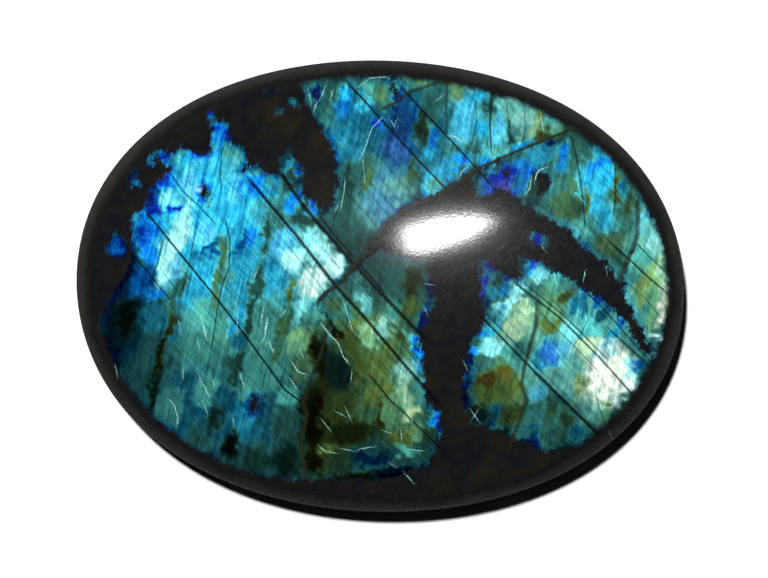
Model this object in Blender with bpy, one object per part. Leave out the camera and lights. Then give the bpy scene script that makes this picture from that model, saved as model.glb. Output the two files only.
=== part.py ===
"""A polished oval labradorite palm stone, as one solid.

Frame: metres, +Z up, the origin under the middle of the stone on the surface that it rests on.
+X runs along the stone's length and +Y across it.

The stone is a flattened oval: a low domed crown, a tight rounded edge all the way round, a softer
rounded heel below it, and a flat polished face to rest on.
"""

import math

import bmesh
import bpy

# Driving dimensions
LENGTH = 0.070
WIDTH = 0.052
THICKNESS = 0.015

# The outline is an ellipse that leans a little and is slightly squared off
LEAN = 0.0101
SQUARENESS = 0.0087

# The cross-section: the edge is a soft-cornered arc above and below the widest line
CROWN_RISE = 0.0041
EDGE_RISE = 0.0050
EDGE_REACH = 0.0032
EDGE_POWER = 2.4
HEEL_RISE = 0.0016
HEEL_REACH = 0.0056
REST_SHARE = 0.66
REST_RIM = 0.985

# How finely the surface is cut into facets
SPOKES = 96
CROWN_RINGS = 10
EDGE_RINGS = 8
LOWER_EDGE_RINGS = 7
HEEL_RINGS = 4
REST_RINGS = 2

STONE_COLOUR = (0.045, 0.105, 0.115, 1.0)
STONE_ROUGHNESS = 0.12

HALF_LENGTH = LENGTH / 2 / (1 - SQUARENESS)
HALF_WIDTH = WIDTH / 2 / (1 - SQUARENESS)
GIRDLE_HEIGHT = THICKNESS - CROWN_RISE - EDGE_RISE
LOWER_EDGE_RISE = GIRDLE_HEIGHT - HEEL_RISE


def clear_scene():
    """Removes whatever the scene starts with."""
    for obj in list(bpy.data.objects):
        bpy.data.objects.remove(obj)


def outline_point(turn):
    """The point of the outline at this turn round the oval, in radians."""
    swell = 1 - LEAN * math.sin(2 * turn) - SQUARENESS * math.cos(4 * turn)
    return HALF_LENGTH * swell * math.cos(turn), HALF_WIDTH * swell * math.sin(turn)


def inset_point(turn, inset):
    """The point that lies this far inside the outline, square to it."""
    small = 1e-4
    ahead = outline_point(turn + small)
    behind = outline_point(turn - small)
    along_x = ahead[0] - behind[0]
    along_y = ahead[1] - behind[1]
    length = math.hypot(along_x, along_y)
    x, y = outline_point(turn)
    return x - inset * along_y / length, y + inset * along_x / length


def arc_share(step):
    """Inset and height of a soft-cornered arc, as shares of its reach and rise.

    Step 0 is the widest line of the stone, and step 1 is the arc's inner end."""
    angle = step * math.pi / 2
    inset = 1 - max(math.cos(angle), 0.0) ** (2 / EDGE_POWER)
    return inset, math.sin(angle) ** (2 / EDGE_POWER)


def oval_share(x, y):
    """How far out a point lies: 0 in the middle, 1 on the plain ellipse."""
    return math.hypot(x / HALF_LENGTH, y / HALF_WIDTH)


def crown_height(x, y, edge_share):
    """Height of the top surface over a point."""
    dome = CROWN_RISE * (1 - oval_share(x, y) ** 2)
    return GIRDLE_HEIGHT + EDGE_RISE * edge_share + dome


def heel_height(x, y, edge_share):
    """Height of the underside over a point: flat in the middle, curling up towards the edge."""
    past_rest = max(oval_share(x, y) - REST_SHARE, 0.0) / (1 - REST_SHARE)
    return LOWER_EDGE_RISE * (1 - edge_share) + HEEL_RISE * past_rest**2


def crown_point(turn, share):
    """A point of the crown, from its middle at share 0 to the edge arc at share 1."""
    x, y = inset_point(turn, EDGE_REACH)
    x, y = x * share, y * share
    return x, y, crown_height(x, y, 1.0)


def edge_point(turn, step):
    """A point of the edge above the widest line."""
    inset, rise = arc_share(step)
    x, y = inset_point(turn, inset * EDGE_REACH)
    return x, y, crown_height(x, y, rise)


def lower_edge_point(turn, step):
    """A point of the edge below the widest line."""
    inset, rise = arc_share(step)
    x, y = inset_point(turn, inset * HEEL_REACH)
    return x, y, heel_height(x, y, rise)


def heel_point(turn, share):
    """A point of the heel, from the lower edge arc at share 1 in to the rest face at share 0."""
    outer_x, outer_y = inset_point(turn, HEEL_REACH)
    rim_x, rim_y = outline_point(turn)
    x = outer_x * share + rim_x * REST_SHARE * (1 - share)
    y = outer_y * share + rim_y * REST_SHARE * (1 - share)
    return x, y, heel_height(x, y, 1.0)


def rest_point(turn, share):
    """A point of the flat face, from its rim at share 1 to its middle at share 0."""
    x, y = outline_point(turn)
    scale = REST_SHARE * REST_RIM * share
    return x * scale, y * scale, 0.0


def ring_rules():
    """The stone's rings from the top of the crown down to the rest face, each as (rule, share)."""
    rules = [(crown_point, (i + 1) / CROWN_RINGS) for i in range(CROWN_RINGS)]
    rules += [(edge_point, 1 - (i + 1) / EDGE_RINGS) for i in range(EDGE_RINGS)]
    rules += [(lower_edge_point, (i + 1) / LOWER_EDGE_RINGS) for i in range(LOWER_EDGE_RINGS)]
    rules += [(heel_point, 1 - (i + 1) / HEEL_RINGS) for i in range(HEEL_RINGS)]
    rules += [(rest_point, 1 - i / REST_RINGS) for i in range(REST_RINGS)]
    return rules


def stone_mesh():
    """A sphere whose rings are moved on to the stone's surface, and its poles on to the axis."""
    rules = ring_rules()
    bm = bmesh.new()
    bmesh.ops.create_uvsphere(bm, u_segments=SPOKES, v_segments=len(rules) + 1, radius=1.0)
    ring_step = math.pi / (len(rules) + 1)
    for vertex in bm.verts:
        polar = math.acos(max(-1.0, min(1.0, vertex.co.z)))
        ring = round(polar / ring_step)
        if ring == 0:
            vertex.co = (0.0, 0.0, crown_height(0.0, 0.0, 1.0))
        elif ring == len(rules) + 1:
            vertex.co = (0.0, 0.0, 0.0)
        else:
            rule, share = rules[ring - 1]
            vertex.co = rule(math.atan2(vertex.co.y, vertex.co.x), share)
    bmesh.ops.recalc_face_normals(bm, faces=bm.faces)
    mesh = bpy.data.meshes.new("stone")
    bm.to_mesh(mesh)
    bm.free()
    mesh.shade_smooth()
    return mesh


def stone_material():
    """Polished dark blue-green feldspar."""
    material = bpy.data.materials.new("polished_labradorite")
    material.use_nodes = True
    shader = material.node_tree.nodes["Principled BSDF"]
    shader.inputs["Base Color"].default_value = STONE_COLOUR
    shader.inputs["Roughness"].default_value = STONE_ROUGHNESS
    shader.inputs["Metallic"].default_value = 0.0
    return material


def build_stone():
    """The stone itself: one natural piece, cut and polished."""
    stone = bpy.data.objects.new("stone", stone_mesh())
    stone.data.materials.append(stone_material())
    return stone


def main():
    clear_scene()
    parts = bpy.data.collections.new("labradorite_palm_stone")
    bpy.context.scene.collection.children.link(parts)
    parts.objects.link(build_stone())


main()
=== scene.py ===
"""Looks of a polished oval labradorite palm stone, seen from straight above on a pale floor.

The stone is one piece. Geometry Nodes make its surface from the same rule as the solid, and its
pattern is laid on from named zones, glows and seams, whose places are pixels of the photograph.
"""

import logging
import math
from dataclasses import dataclass
from enum import Enum

import bpy
import numpy as np
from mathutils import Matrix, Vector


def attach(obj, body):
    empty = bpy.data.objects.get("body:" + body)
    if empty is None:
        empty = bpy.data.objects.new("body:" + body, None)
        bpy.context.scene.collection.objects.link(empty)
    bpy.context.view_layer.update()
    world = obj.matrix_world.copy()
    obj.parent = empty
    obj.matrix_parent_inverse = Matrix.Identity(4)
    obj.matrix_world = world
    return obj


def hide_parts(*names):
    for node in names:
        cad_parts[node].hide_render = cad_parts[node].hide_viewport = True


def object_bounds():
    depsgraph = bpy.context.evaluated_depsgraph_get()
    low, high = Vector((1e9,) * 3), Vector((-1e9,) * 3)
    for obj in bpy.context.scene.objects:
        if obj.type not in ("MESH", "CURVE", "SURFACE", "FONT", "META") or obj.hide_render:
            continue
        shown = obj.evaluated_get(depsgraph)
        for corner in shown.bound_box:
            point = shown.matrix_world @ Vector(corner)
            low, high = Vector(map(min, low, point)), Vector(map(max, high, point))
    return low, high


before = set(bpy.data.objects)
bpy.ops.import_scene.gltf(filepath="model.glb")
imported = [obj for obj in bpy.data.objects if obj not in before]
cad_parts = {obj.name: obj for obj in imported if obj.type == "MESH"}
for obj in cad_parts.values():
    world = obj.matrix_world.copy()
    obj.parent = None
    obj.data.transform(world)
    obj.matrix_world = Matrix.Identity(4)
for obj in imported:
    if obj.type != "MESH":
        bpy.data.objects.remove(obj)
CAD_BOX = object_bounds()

LOG = logging.getLogger("palm stone")

Place = tuple[float, float]
Span = tuple[float, float]
Path = tuple[Place, ...]
Colour = tuple[float, float, float, float]

MM = 0.001
FAR = 1e9


@dataclass(frozen=True)
class StoneSizes:
    """Driving sizes of the stone, in metres; its length, width and height come from the frame."""

    length: float = CAD_BOX[1].x - CAD_BOX[0].x
    width: float = CAD_BOX[1].y - CAD_BOX[0].y
    thickness: float = CAD_BOX[1].z - CAD_BOX[0].z
    lean: float = 0.0101
    squareness: float = 0.0087
    crown_rise: float = 4.1 * MM
    edge_rise: float = 5.0 * MM
    edge_reach: float = 3.2 * MM
    edge_power: float = 2.4
    heel_rise: float = 1.6 * MM
    heel_reach: float = 5.6 * MM
    rest_share: float = 0.66
    rest_rim: float = 0.985

    @property
    def half_length(self) -> float:
        """Half the length of the plain ellipse under the outline."""
        return self.length / 2 / (1 - self.squareness)

    @property
    def half_width(self) -> float:
        """Half the width of the plain ellipse under the outline."""
        return self.width / 2 / (1 - self.squareness)

    @property
    def girdle_height(self) -> float:
        """Height of the widest line."""
        return self.thickness - self.crown_rise - self.edge_rise

    @property
    def lower_edge_rise(self) -> float:
        """Height of the rounded edge below the widest line."""
        return self.girdle_height - self.heel_rise


SIZES = StoneSizes()


@dataclass(frozen=True)
class PhotoView:
    """The photograph's view, straight down, and how its pixels fall on the stone."""

    image_width: float = 768.0
    image_height: float = 578.0
    stone_x: float = 380.3
    stone_y: float = 286.0
    outline_width: float = 607.0
    camera_height: float = 0.60
    sensor_width: float = 36.0

    @property
    def pixel(self) -> float:
        """One pixel at the height of the widest line, in metres."""
        return SIZES.length / self.outline_width

    @property
    def focal_pixels(self) -> float:
        """The lens's focal length in pixels."""
        return (self.camera_height - SIZES.girdle_height) / self.pixel

    @property
    def camera_place(self) -> tuple[float, float, float]:
        """Where the camera stands, so that the stone lies where it does in the photograph."""
        aside = (self.image_width / 2 - self.stone_x) * self.pixel
        below = (self.stone_y - self.image_height / 2) * self.pixel
        return aside, below, self.camera_height

    def to_pixels(self, points: np.ndarray) -> np.ndarray:
        """Where points of the stone show in the photograph.

        Args:
            points: Rows of x, y and z in metres.

        Returns:
            Rows of x and y in photo pixels.
        """
        aside, below, height = self.camera_place
        share = self.focal_pixels / (height - points[:, 2])
        across = self.image_width / 2 + (points[:, 0] - aside) * share
        down = self.image_height / 2 - (points[:, 1] - below) * share
        return np.stack([across, down], axis=1)

    def to_stone(self, place: Place) -> Place:
        """The x and y of the stone, in metres, that show at a photo pixel."""
        return (place[0] - self.stone_x) * self.pixel, (self.stone_y - place[1]) * self.pixel


VIEW = PhotoView()


class Wire:
    """One value in a node tree; arithmetic on it adds the nodes that work it out."""

    def __init__(self, tree: bpy.types.NodeTree, socket: bpy.types.NodeSocket) -> None:
        """Keeps the tree and the socket that gives the value."""
        self.tree, self.socket = tree, socket

    def math(self, operation: str, *others: "Wire | float") -> "Wire":
        """Adds a math node.

        Args:
            operation: Name of the node's operation.
            others: Its other values, after this one.

        Returns:
            The result.
        """
        node = self.tree.nodes.new("ShaderNodeMath")
        node.operation = operation
        for socket, value in zip(node.inputs, (self, *others)):
            feed(self.tree, socket, value)
        return Wire(self.tree, node.outputs[0])

    def __add__(self, other: "Wire | float") -> "Wire":
        """Sum."""
        return self.math("ADD", other)

    def __radd__(self, other: float) -> "Wire":
        """Sum, with a plain number first."""
        return self.math("ADD", other)

    def __sub__(self, other: "Wire | float") -> "Wire":
        """Difference."""
        return self.math("SUBTRACT", other)

    def __rsub__(self, other: float) -> "Wire":
        """Difference, from a plain number."""
        return self.math("MULTIPLY", -1.0) + other

    def __mul__(self, other: "Wire | float") -> "Wire":
        """Product."""
        return self.math("MULTIPLY", other)

    def __truediv__(self, other: "Wire | float") -> "Wire":
        """Quotient."""
        return self.math("DIVIDE", other)

    def swing(self, amount: float) -> "Wire":
        """A noise value made to swing about zero, times an amount."""
        return (self - 0.5) * amount

    def step(self, start: float, end: float, low: float = 0.0, high: float = 1.0) -> "Wire":
        """A smooth step.

        Args:
            start: Value at which the step starts.
            end: Value at which it ends.
            low: Result before the start.
            high: Result past the end.

        Returns:
            The stepped value.
        """
        node = self.tree.nodes.new("ShaderNodeMapRange")
        node.interpolation_type = "SMOOTHSTEP"
        for name, value in (("From Min", start), ("From Max", end), ("To Min", low), ("To Max", high)):
            node.inputs[name].default_value = value
        feed(self.tree, node.inputs["Value"], self)
        return Wire(self.tree, node.outputs["Result"])


def feed(tree: bpy.types.NodeTree, socket: bpy.types.NodeSocket, value: Wire | float | Colour) -> None:
    """Gives a socket its value.

    Args:
        tree: The node tree.
        socket: The socket.
        value: A wire, which is linked, or a plain value, which is set.
    """
    if isinstance(value, Wire):
        tree.links.new(value.socket, socket)
    else:
        socket.default_value = value


def blend(tree: bpy.types.NodeTree, share: Wire | float, first: Wire | Colour,
          second: Wire | Colour) -> Wire:
    """Mixes two colours.

    Args:
        tree: The node tree.
        share: How much of the second colour shows.
        first: First colour.
        second: Second colour.

    Returns:
        The mixed colour.
    """
    node = tree.nodes.new("ShaderNodeMix")
    node.data_type = "RGBA"
    factor, colour_a, colour_b = node.inputs[0], node.inputs[6], node.inputs[7]
    for socket, value in ((factor, share), (colour_a, first), (colour_b, second)):
        feed(tree, socket, value)
    return Wire(tree, node.outputs[2])


def linear(red: int, green: int, blue: int) -> Colour:
    """A screen colour as the linear colour that shaders take, by the sRGB curve.

    Args:
        red: Red, 0 to 255.
        green: Green, 0 to 255.
        blue: Blue, 0 to 255.

    Returns:
        The linear colour, opaque.
    """
    parts = [value / 255 for value in (red, green, blue)]
    light = [p / 12.92 if p <= 0.04045 else ((p + 0.055) / 1.055) ** 2.4 for p in parts]
    return light[0], light[1], light[2], 1.0


class Sheen(Enum):
    """Colours of the flash, as places along the ramp from blue to bronze."""

    DEEP = 0.0
    AZURE = 0.16
    CYAN = 0.32
    AQUA = 0.46
    TEAL = 0.58
    GREEN = 0.70
    MOSS = 0.82
    OLIVE = 0.92
    BRONZE = 1.0


SHEEN_COLOURS = {
    Sheen.DEEP: linear(6, 46, 180),
    Sheen.AZURE: linear(14, 132, 242),
    Sheen.CYAN: linear(44, 200, 246),
    Sheen.AQUA: linear(104, 238, 238),
    Sheen.TEAL: linear(92, 208, 196),
    Sheen.GREEN: linear(125, 208, 145),
    Sheen.MOSS: linear(140, 190, 98),
    Sheen.OLIVE: linear(140, 146, 66),
    Sheen.BRONZE: linear(138, 118, 66),
}


@dataclass(frozen=True)
class Zone:
    """A stretch of the stone that flashes, or one that stays dark, by its outline in pixels."""

    name: str
    lit: bool
    outline: Path


@dataclass(frozen=True)
class Glow:
    """A soft oval of one sheen, in photo pixels.

    The reach is half its size across and upwards before it is turned by its lean, which is in
    degrees against the clock. The paling is how far its colour pales to white: a milky flash,
    and along the right shoulder a painted highlight.
    """

    place: Place
    reach: Place
    lean: float
    sheen: Sheen
    tone: float
    milk_and_highlight: float = 0.0
    fade: float = 0.55


class SeamKind(Enum):
    """What a thin line is: a dark twin line, a brown grain boundary or a bright line, which is a painted
    glint off a small crack.
    """

    DARK = "dark"
    BROWN = "brown"
    BRIGHT = "bright"


@dataclass(frozen=True)
class Seam:
    """A thin line of the pattern: its path and half width in pixels, and how strong it is."""

    kind: SeamKind
    half_width: float
    strength: float
    path: Path


LIT, UNLIT = True, False
DARK, BROWN, BRIGHT = SeamKind.DARK, SeamKind.BROWN, SeamKind.BRIGHT
DEEP, AZURE, CYAN, AQUA, TEAL = Sheen.DEEP, Sheen.AZURE, Sheen.CYAN, Sheen.AQUA, Sheen.TEAL
GREEN, MOSS, OLIVE, BRONZE = Sheen.GREEN, Sheen.MOSS, Sheen.OLIVE, Sheen.BRONZE

ZONES = (
    Zone("left blaze", LIT,
         ((96, 330), (108, 300), (128, 268), (132, 240), (130, 214), (144, 209), (149, 190), (160, 180),
          (166, 176), (171, 168), (160, 161), (156, 150), (172, 152), (182, 148), (196, 153),
          (208, 156), (211, 140), (208, 122), (203, 112), (209, 108), (216, 118), (229, 126),
          (233, 142), (248, 149), (246, 162), (243, 171), (258, 164), (264, 173), (279, 174),
          (281, 153), (290, 150), (303, 168), (304, 194), (314, 199), (323, 214), (345, 190),
          (400, 205), (350, 272), (318, 305), (333, 322), (306, 400), (306, 440), (305, 480),
          (255, 476), (190, 452), (130, 402))),
    Zone("left islet", LIT, ((104, 247), (117, 231), (130, 250), (121, 259), (111, 255))),
    Zone("upper left islet", LIT, ((126, 166), (134, 163), (140, 186), (130, 187))),
    Zone("small upper left islet", LIT, ((147, 155), (152, 155), (154, 169), (149, 167))),
    Zone("upper middle", LIT,
         ((302, 78), (306, 105), (316, 122), (330, 142), (337, 165), (334, 200), (322, 216), (340, 262),
          (352, 262), (400, 212), (478, 170), (575, 128), (480, 70), (380, 66))),
    Zone("first speck in the brown patch", LIT, ((289, 96), (298, 97), (297, 107), (290, 104))),
    Zone("second speck in the brown patch", LIT, ((275, 107), (284, 107), (284, 115), (276, 114))),
    Zone("third speck in the brown patch", LIT, ((262, 88), (277, 87), (277, 94), (264, 93))),
    Zone("right field", LIT,
         ((470, 178), (500, 160), (560, 105), (640, 170), (640, 235), (624, 270), (620, 284),
          (606, 262), (585, 252), (570, 230), (548, 220), (522, 202), (500, 188), (480, 200))),
    Zone("right sliver", LIT,
         ((635, 185), (668, 240), (676, 300), (662, 350), (655, 360), (640, 330), (624, 292),
          (622, 275), (634, 248))),
    Zone("lower right blaze", LIT,
         ((478, 262), (490, 262), (504, 276), (522, 278), (520, 256), (535, 260), (556, 270),
          (575, 284), (600, 296), (622, 318), (645, 352), (660, 366), (650, 410), (600, 440),
          (552, 454), (505, 434), (470, 420), (464, 407), (461, 388), (467, 366), (468, 343),
          (486, 322), (481, 300))),
    Zone("middle green field", LIT,
         ((318, 303), (350, 272), (380, 250), (425, 262), (436, 300), (421, 334), (424, 375),
          (428, 404), (440, 412), (440, 434), (430, 465), (385, 480), (306, 480), (300, 440),
          (310, 385), (333, 320))),
    Zone("islet in the dark arch", LIT, ((530, 230), (547, 236), (549, 248), (534, 246))),
    Zone("pit at the upper edge", UNLIT, ((390, 82), (396, 81), (398, 96), (394, 98))),
    Zone("dark knot above the arch", UNLIT, ((535, 176), (545, 172), (550, 188), (538, 195))),
    Zone("dark notch above the arch", UNLIT, ((505, 173), (512, 172), (511, 177), (505, 178))),
    Zone("pit in the lower left", UNLIT, ((252, 396), (256, 395), (258, 410), (252, 411))),
    Zone("pit in the left blaze", UNLIT, ((204, 184), (206, 189), (204, 198), (201, 190))),
)

LEFT_BLAZE = (
    Glow((200, 215), (80, 75), 30, CYAN, 0.93),
    Glow((235, 300), (95, 60), 20, CYAN, 0.74),
    Glow((215, 350), (100, 50), 10, TEAL, 0.60),
    Glow((200, 410), (110, 50), 0, CYAN, 0.36),
    Glow((145, 350), (35, 60), -10, AQUA, 0.27),
    Glow((125, 300), (25, 60), -5, AZURE, 0.22),
    Glow((110, 350), (18, 40), -10, AZURE, 0.16),
    Glow((126, 318), (14, 24), -10, TEAL, 0.08),
    Glow((142, 282), (14, 18), -20, AZURE, 0.58),
    Glow((131, 175), (7, 12), 0, AZURE, 0.36),
    Glow((150, 162), (4, 8), 0, CYAN, 0.62),
    Glow((118, 247), (9, 12), -10, AZURE, 0.66),
    Glow((152, 195), (8, 18), 0, AZURE, 0.50),
    Glow((209, 113), (6, 6), 0, AZURE, 0.72),
    Glow((221, 136), (10, 14), 0, AZURE, 0.86),
    Glow((218, 158), (9, 14), -10, CYAN, 1.0),
    Glow((163, 156), (9, 7), 30, AZURE, 0.84),
    Glow((189, 160), (10, 9), 0, CYAN, 1.0),
    Glow((199, 154), (6, 5), 0, AZURE, 0.8),
    Glow((190, 185), (10, 20), -10, CYAN, 1.0, 0.08),
    Glow((166, 184), (8, 8), -30, AZURE, 1.0),
    Glow((156, 208), (9, 8), -30, DEEP, 0.95),
    Glow((168, 199), (9, 12), -30, AQUA, 0.98, 0.1),
    Glow((199, 190), (3, 6), -10, AQUA, 1.0, 0.5),
    Glow((175, 210), (3, 9), -30, DEEP, 0.9),
    Glow((186, 211), (8, 14), -20, AQUA, 1.0, 0.2),
    Glow((207, 200), (3, 10), -10, TEAL, 0.5),
    Glow((143, 220), (11, 9), 20, AZURE, 0.86),
    Glow((145, 238), (8, 14), -30, DEEP, 0.95),
    Glow((152, 234), (6, 12), -25, AZURE, 1.0),
    Glow((149, 253), (9, 10), 40, AZURE, 1.0),
    Glow((166, 262), (9, 30), -10, AQUA, 1.0, 0.3),
    Glow((180, 238), (9, 20), -15, AQUA, 1.0, 0.3),
    Glow((177, 266), (6, 10), -10, CYAN, 1.0, 0.1),
    Glow((206, 235), (15, 12), 40, CYAN, 1.0, 0.08),
    Glow((212, 248), (18, 4), 20, AZURE, 0.50),
    Glow((204, 276), (13, 22), -15, CYAN, 0.93),
    Glow((190, 298), (7, 14), -15, CYAN, 0.8),
    Glow((205, 318), (18, 16), -30, TEAL, 0.84),
    Glow((156, 294), (7, 11), -30, AZURE, 0.92),
    Glow((153, 318), (14, 14), -30, CYAN, 0.45),
    Glow((170, 330), (12, 18), -20, CYAN, 0.48),
    Glow((235, 190), (9, 14), -30, CYAN, 0.95, 0.05),
    Glow((254, 190), (12, 14), -30, AZURE, 0.95),
    Glow((258, 178), (6, 8), -30, AZURE, 1.0),
    Glow((248, 206), (7, 10), -20, CYAN, 0.9),
    Glow((252, 236), (10, 10), -30, AZURE, 1.0),
    Glow((240, 243), (5, 14), -20, AZURE, 0.55),
    Glow((275, 190), (10, 12), -30, CYAN, 0.75),
    Glow((292, 203), (9, 15), -30, AZURE, 1.0),
    Glow((299, 169), (4, 9), -40, AZURE, 1.0),
    Glow((287, 165), (3, 12), -30, CYAN, 0.72),
    Glow((312, 208), (6, 11), -30, AZURE, 0.88),
    Glow((299, 190), (4, 12), -20, CYAN, 0.5),
    Glow((246, 275), (12, 30), -15, CYAN, 0.72),
    Glow((272, 275), (10, 24), -15, CYAN, 0.82),
    Glow((236, 320), (8, 22), -15, CYAN, 0.78),
    Glow((240, 342), (8, 12), -20, CYAN, 0.45),
    Glow((268, 320), (14, 24), -15, TEAL, 0.6),
    Glow((285, 240), (12, 22), -30, CYAN, 1.0, 0.08),
    Glow((305, 245), (10, 24), -35, AQUA, 1.0, 0.15),
    Glow((322, 250), (14, 16), -40, AQUA, 1.0, 0.3),
    Glow((334, 266), (9, 14), -40, AQUA, 1.0, 0.5),
    Glow((314, 280), (15, 18), -40, TEAL, 1.0, 0.5),
    Glow((290, 260), (10, 12), 40, AQUA, 1.0, 0.35),
    Glow((302, 308), (9, 16), -15, AQUA, 0.98, 0.12),
    Glow((318, 312), (8, 10), -30, TEAL, 0.8),
    Glow((300, 340), (17, 16), -30, GREEN, 0.72, 0.05),
    Glow((303, 368), (14, 16), -30, GREEN, 0.48),
    Glow((268, 370), (20, 24), -30, TEAL, 0.58),
    Glow((235, 362), (9, 16), -30, TEAL, 0.28),
    Glow((245, 388), (16, 12), -30, TEAL, 0.62),
    Glow((285, 395), (10, 14), -20, TEAL, 0.70),
    Glow((246, 420), (14, 24), -15, CYAN, 0.56),
    Glow((284, 425), (14, 18), -10, TEAL, 0.32),
    Glow((268, 440), (4, 16), -5, CYAN, 0.42),
    Glow((231, 445), (8, 14), -10, TEAL, 0.08),
    Glow((255, 462), (22, 12), 10, TEAL, 0.22),
    Glow((287, 462), (14, 18), -10, TEAL, 0.14),
    Glow((170, 405), (14, 20), -30, TEAL, 0.50),
    Glow((206, 388), (12, 18), -30, TEAL, 0.64),
    Glow((214, 418), (9, 16), -10, TEAL, 0.18),
    Glow((197, 440), (12, 14), -30, TEAL, 0.34),
    # Steep dark and green bands
    Glow((177, 295), (5, 30), -12, TEAL, 0.42),
    Glow((172, 322), (5, 16), -18, MOSS, 0.26),
    Glow((161, 352), (5, 26), -18, OLIVE, 0.14),
    Glow((153, 392), (5, 24), -8, TEAL, 0.12),
    Glow((222, 262), (8, 26), -8, GREEN, 0.55),
    Glow((216, 288), (5, 22), -8, GREEN, 0.58),
    Glow((266, 238), (4, 26), -8, TEAL, 0.36),
    Glow((258, 280), (6, 24), -12, TEAL, 0.34),
    Glow((250, 318), (5, 26), -14, TEAL, 0.28),
    Glow((238, 366), (5, 22), -18, TEAL, 0.24),
    Glow((290, 295), (4, 20), -5, MOSS, 0.56),
    Glow((283, 328), (4, 18), -16, GREEN, 0.42),
    Glow((275, 355), (4, 12), -18, GREEN, 0.44),
)

UPPER_MIDDLE = (
    Glow((390, 130), (75, 65), 10, CYAN, 0.50),
    Glow((360, 195), (32, 45), -20, TEAL, 0.46),
    Glow((385, 195), (26, 34), -30, CYAN, 0.66, 0.12),
    Glow((338, 215), (12, 18), -30, TEAL, 0.40),
    Glow((320, 90), (20, 16), -10, TEAL, 0.46),
    Glow((317, 94), (5, 16), -5, DEEP, 0.45, 0.03),
    Glow((345, 100), (9, 20), -5, AZURE, 0.84),
    Glow((344, 92), (6, 10), -5, CYAN, 1.0),
    Glow((352, 122), (12, 14), -10, CYAN, 0.60),
    Glow((361, 106), (6, 12), -20, CYAN, 0.84),
    Glow((340, 140), (9, 18), -5, CYAN, 0.62),
    Glow((355, 150), (10, 16), -10, CYAN, 0.56),
    Glow((326, 122), (5, 14), -10, TEAL, 0.62),
    Glow((376, 122), (7, 7), 40, DEEP, 0.95),
    Glow((381, 92), (16, 12), 30, GREEN, 0.60),
    Glow((368, 88), (8, 8), -30, TEAL, 0.78),
    Glow((410, 82), (22, 7), 10, TEAL, 0.62),
    Glow((402, 88), (4, 6), -10, AZURE, 0.84),
    Glow((425, 84), (12, 4), 15, MOSS, 0.72),
    Glow((388, 105), (8, 6), 30, GREEN, 0.55),
    Glow((400, 125), (18, 28), -10, AZURE, 0.42, 0.02),
    Glow((396, 150), (16, 16), -20, AZURE, 0.62, 0.06),
    Glow((412, 128), (8, 26), -2, AZURE, 0.5),
    Glow((421, 125), (4, 26), -2, GREEN, 0.24),
    Glow((433, 108), (10, 18), -10, TEAL, 0.40),
    Glow((434, 140), (9, 14), -20, AZURE, 0.72),
    Glow((430, 155), (7, 10), -20, CYAN, 0.76),
    Glow((428, 182), (9, 16), -10, CYAN, 0.88),
    Glow((412, 172), (4, 18), -5, GREEN, 0.40),
    Glow((400, 188), (12, 14), -30, TEAL, 0.70, 0.12),
    Glow((445, 170), (12, 18), -20, CYAN, 0.80),
    Glow((437, 190), (9, 9), -40, TEAL, 0.75),
    Glow((463, 118), (16, 34), -2, CYAN, 0.86, 0.05),
    Glow((457, 90), (10, 9), 30, GREEN, 0.62, 0.08),
    Glow((478, 96), (12, 10), 30, CYAN, 0.80),
    Glow((482, 128), (8, 22), -2, CYAN, 0.88),
    Glow((463, 160), (10, 10), -40, AZURE, 1.0),
    Glow((485, 158), (14, 10), 40, CYAN, 0.86),
    Glow((498, 128), (8, 24), -2, CYAN, 1.0, 0.08),
    Glow((508, 105), (14, 12), -30, TEAL, 0.85, 0.08),
    Glow((522, 118), (14, 20), -20, TEAL, 0.88, 0.15),
    Glow((535, 125), (7, 16), -20, GREEN, 0.90, 0.2),
    Glow((540, 112), (8, 6), 30, OLIVE, 0.62),
    Glow((520, 146), (16, 7), 30, CYAN, 0.80),
    Glow((500, 154), (12, 5), 30, TEAL, 0.85),
    Glow((293, 101), (5, 6), -10, CYAN, 0.74),
    Glow((280, 111), (5, 4), 0, TEAL, 0.40),
    Glow((270, 90), (7, 4), 0, AZURE, 0.32),
    Glow((366, 178), (4, 26), -6, GREEN, 0.50),
    Glow((348, 180), (5, 20), -10, TEAL, 0.30),
)

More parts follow.
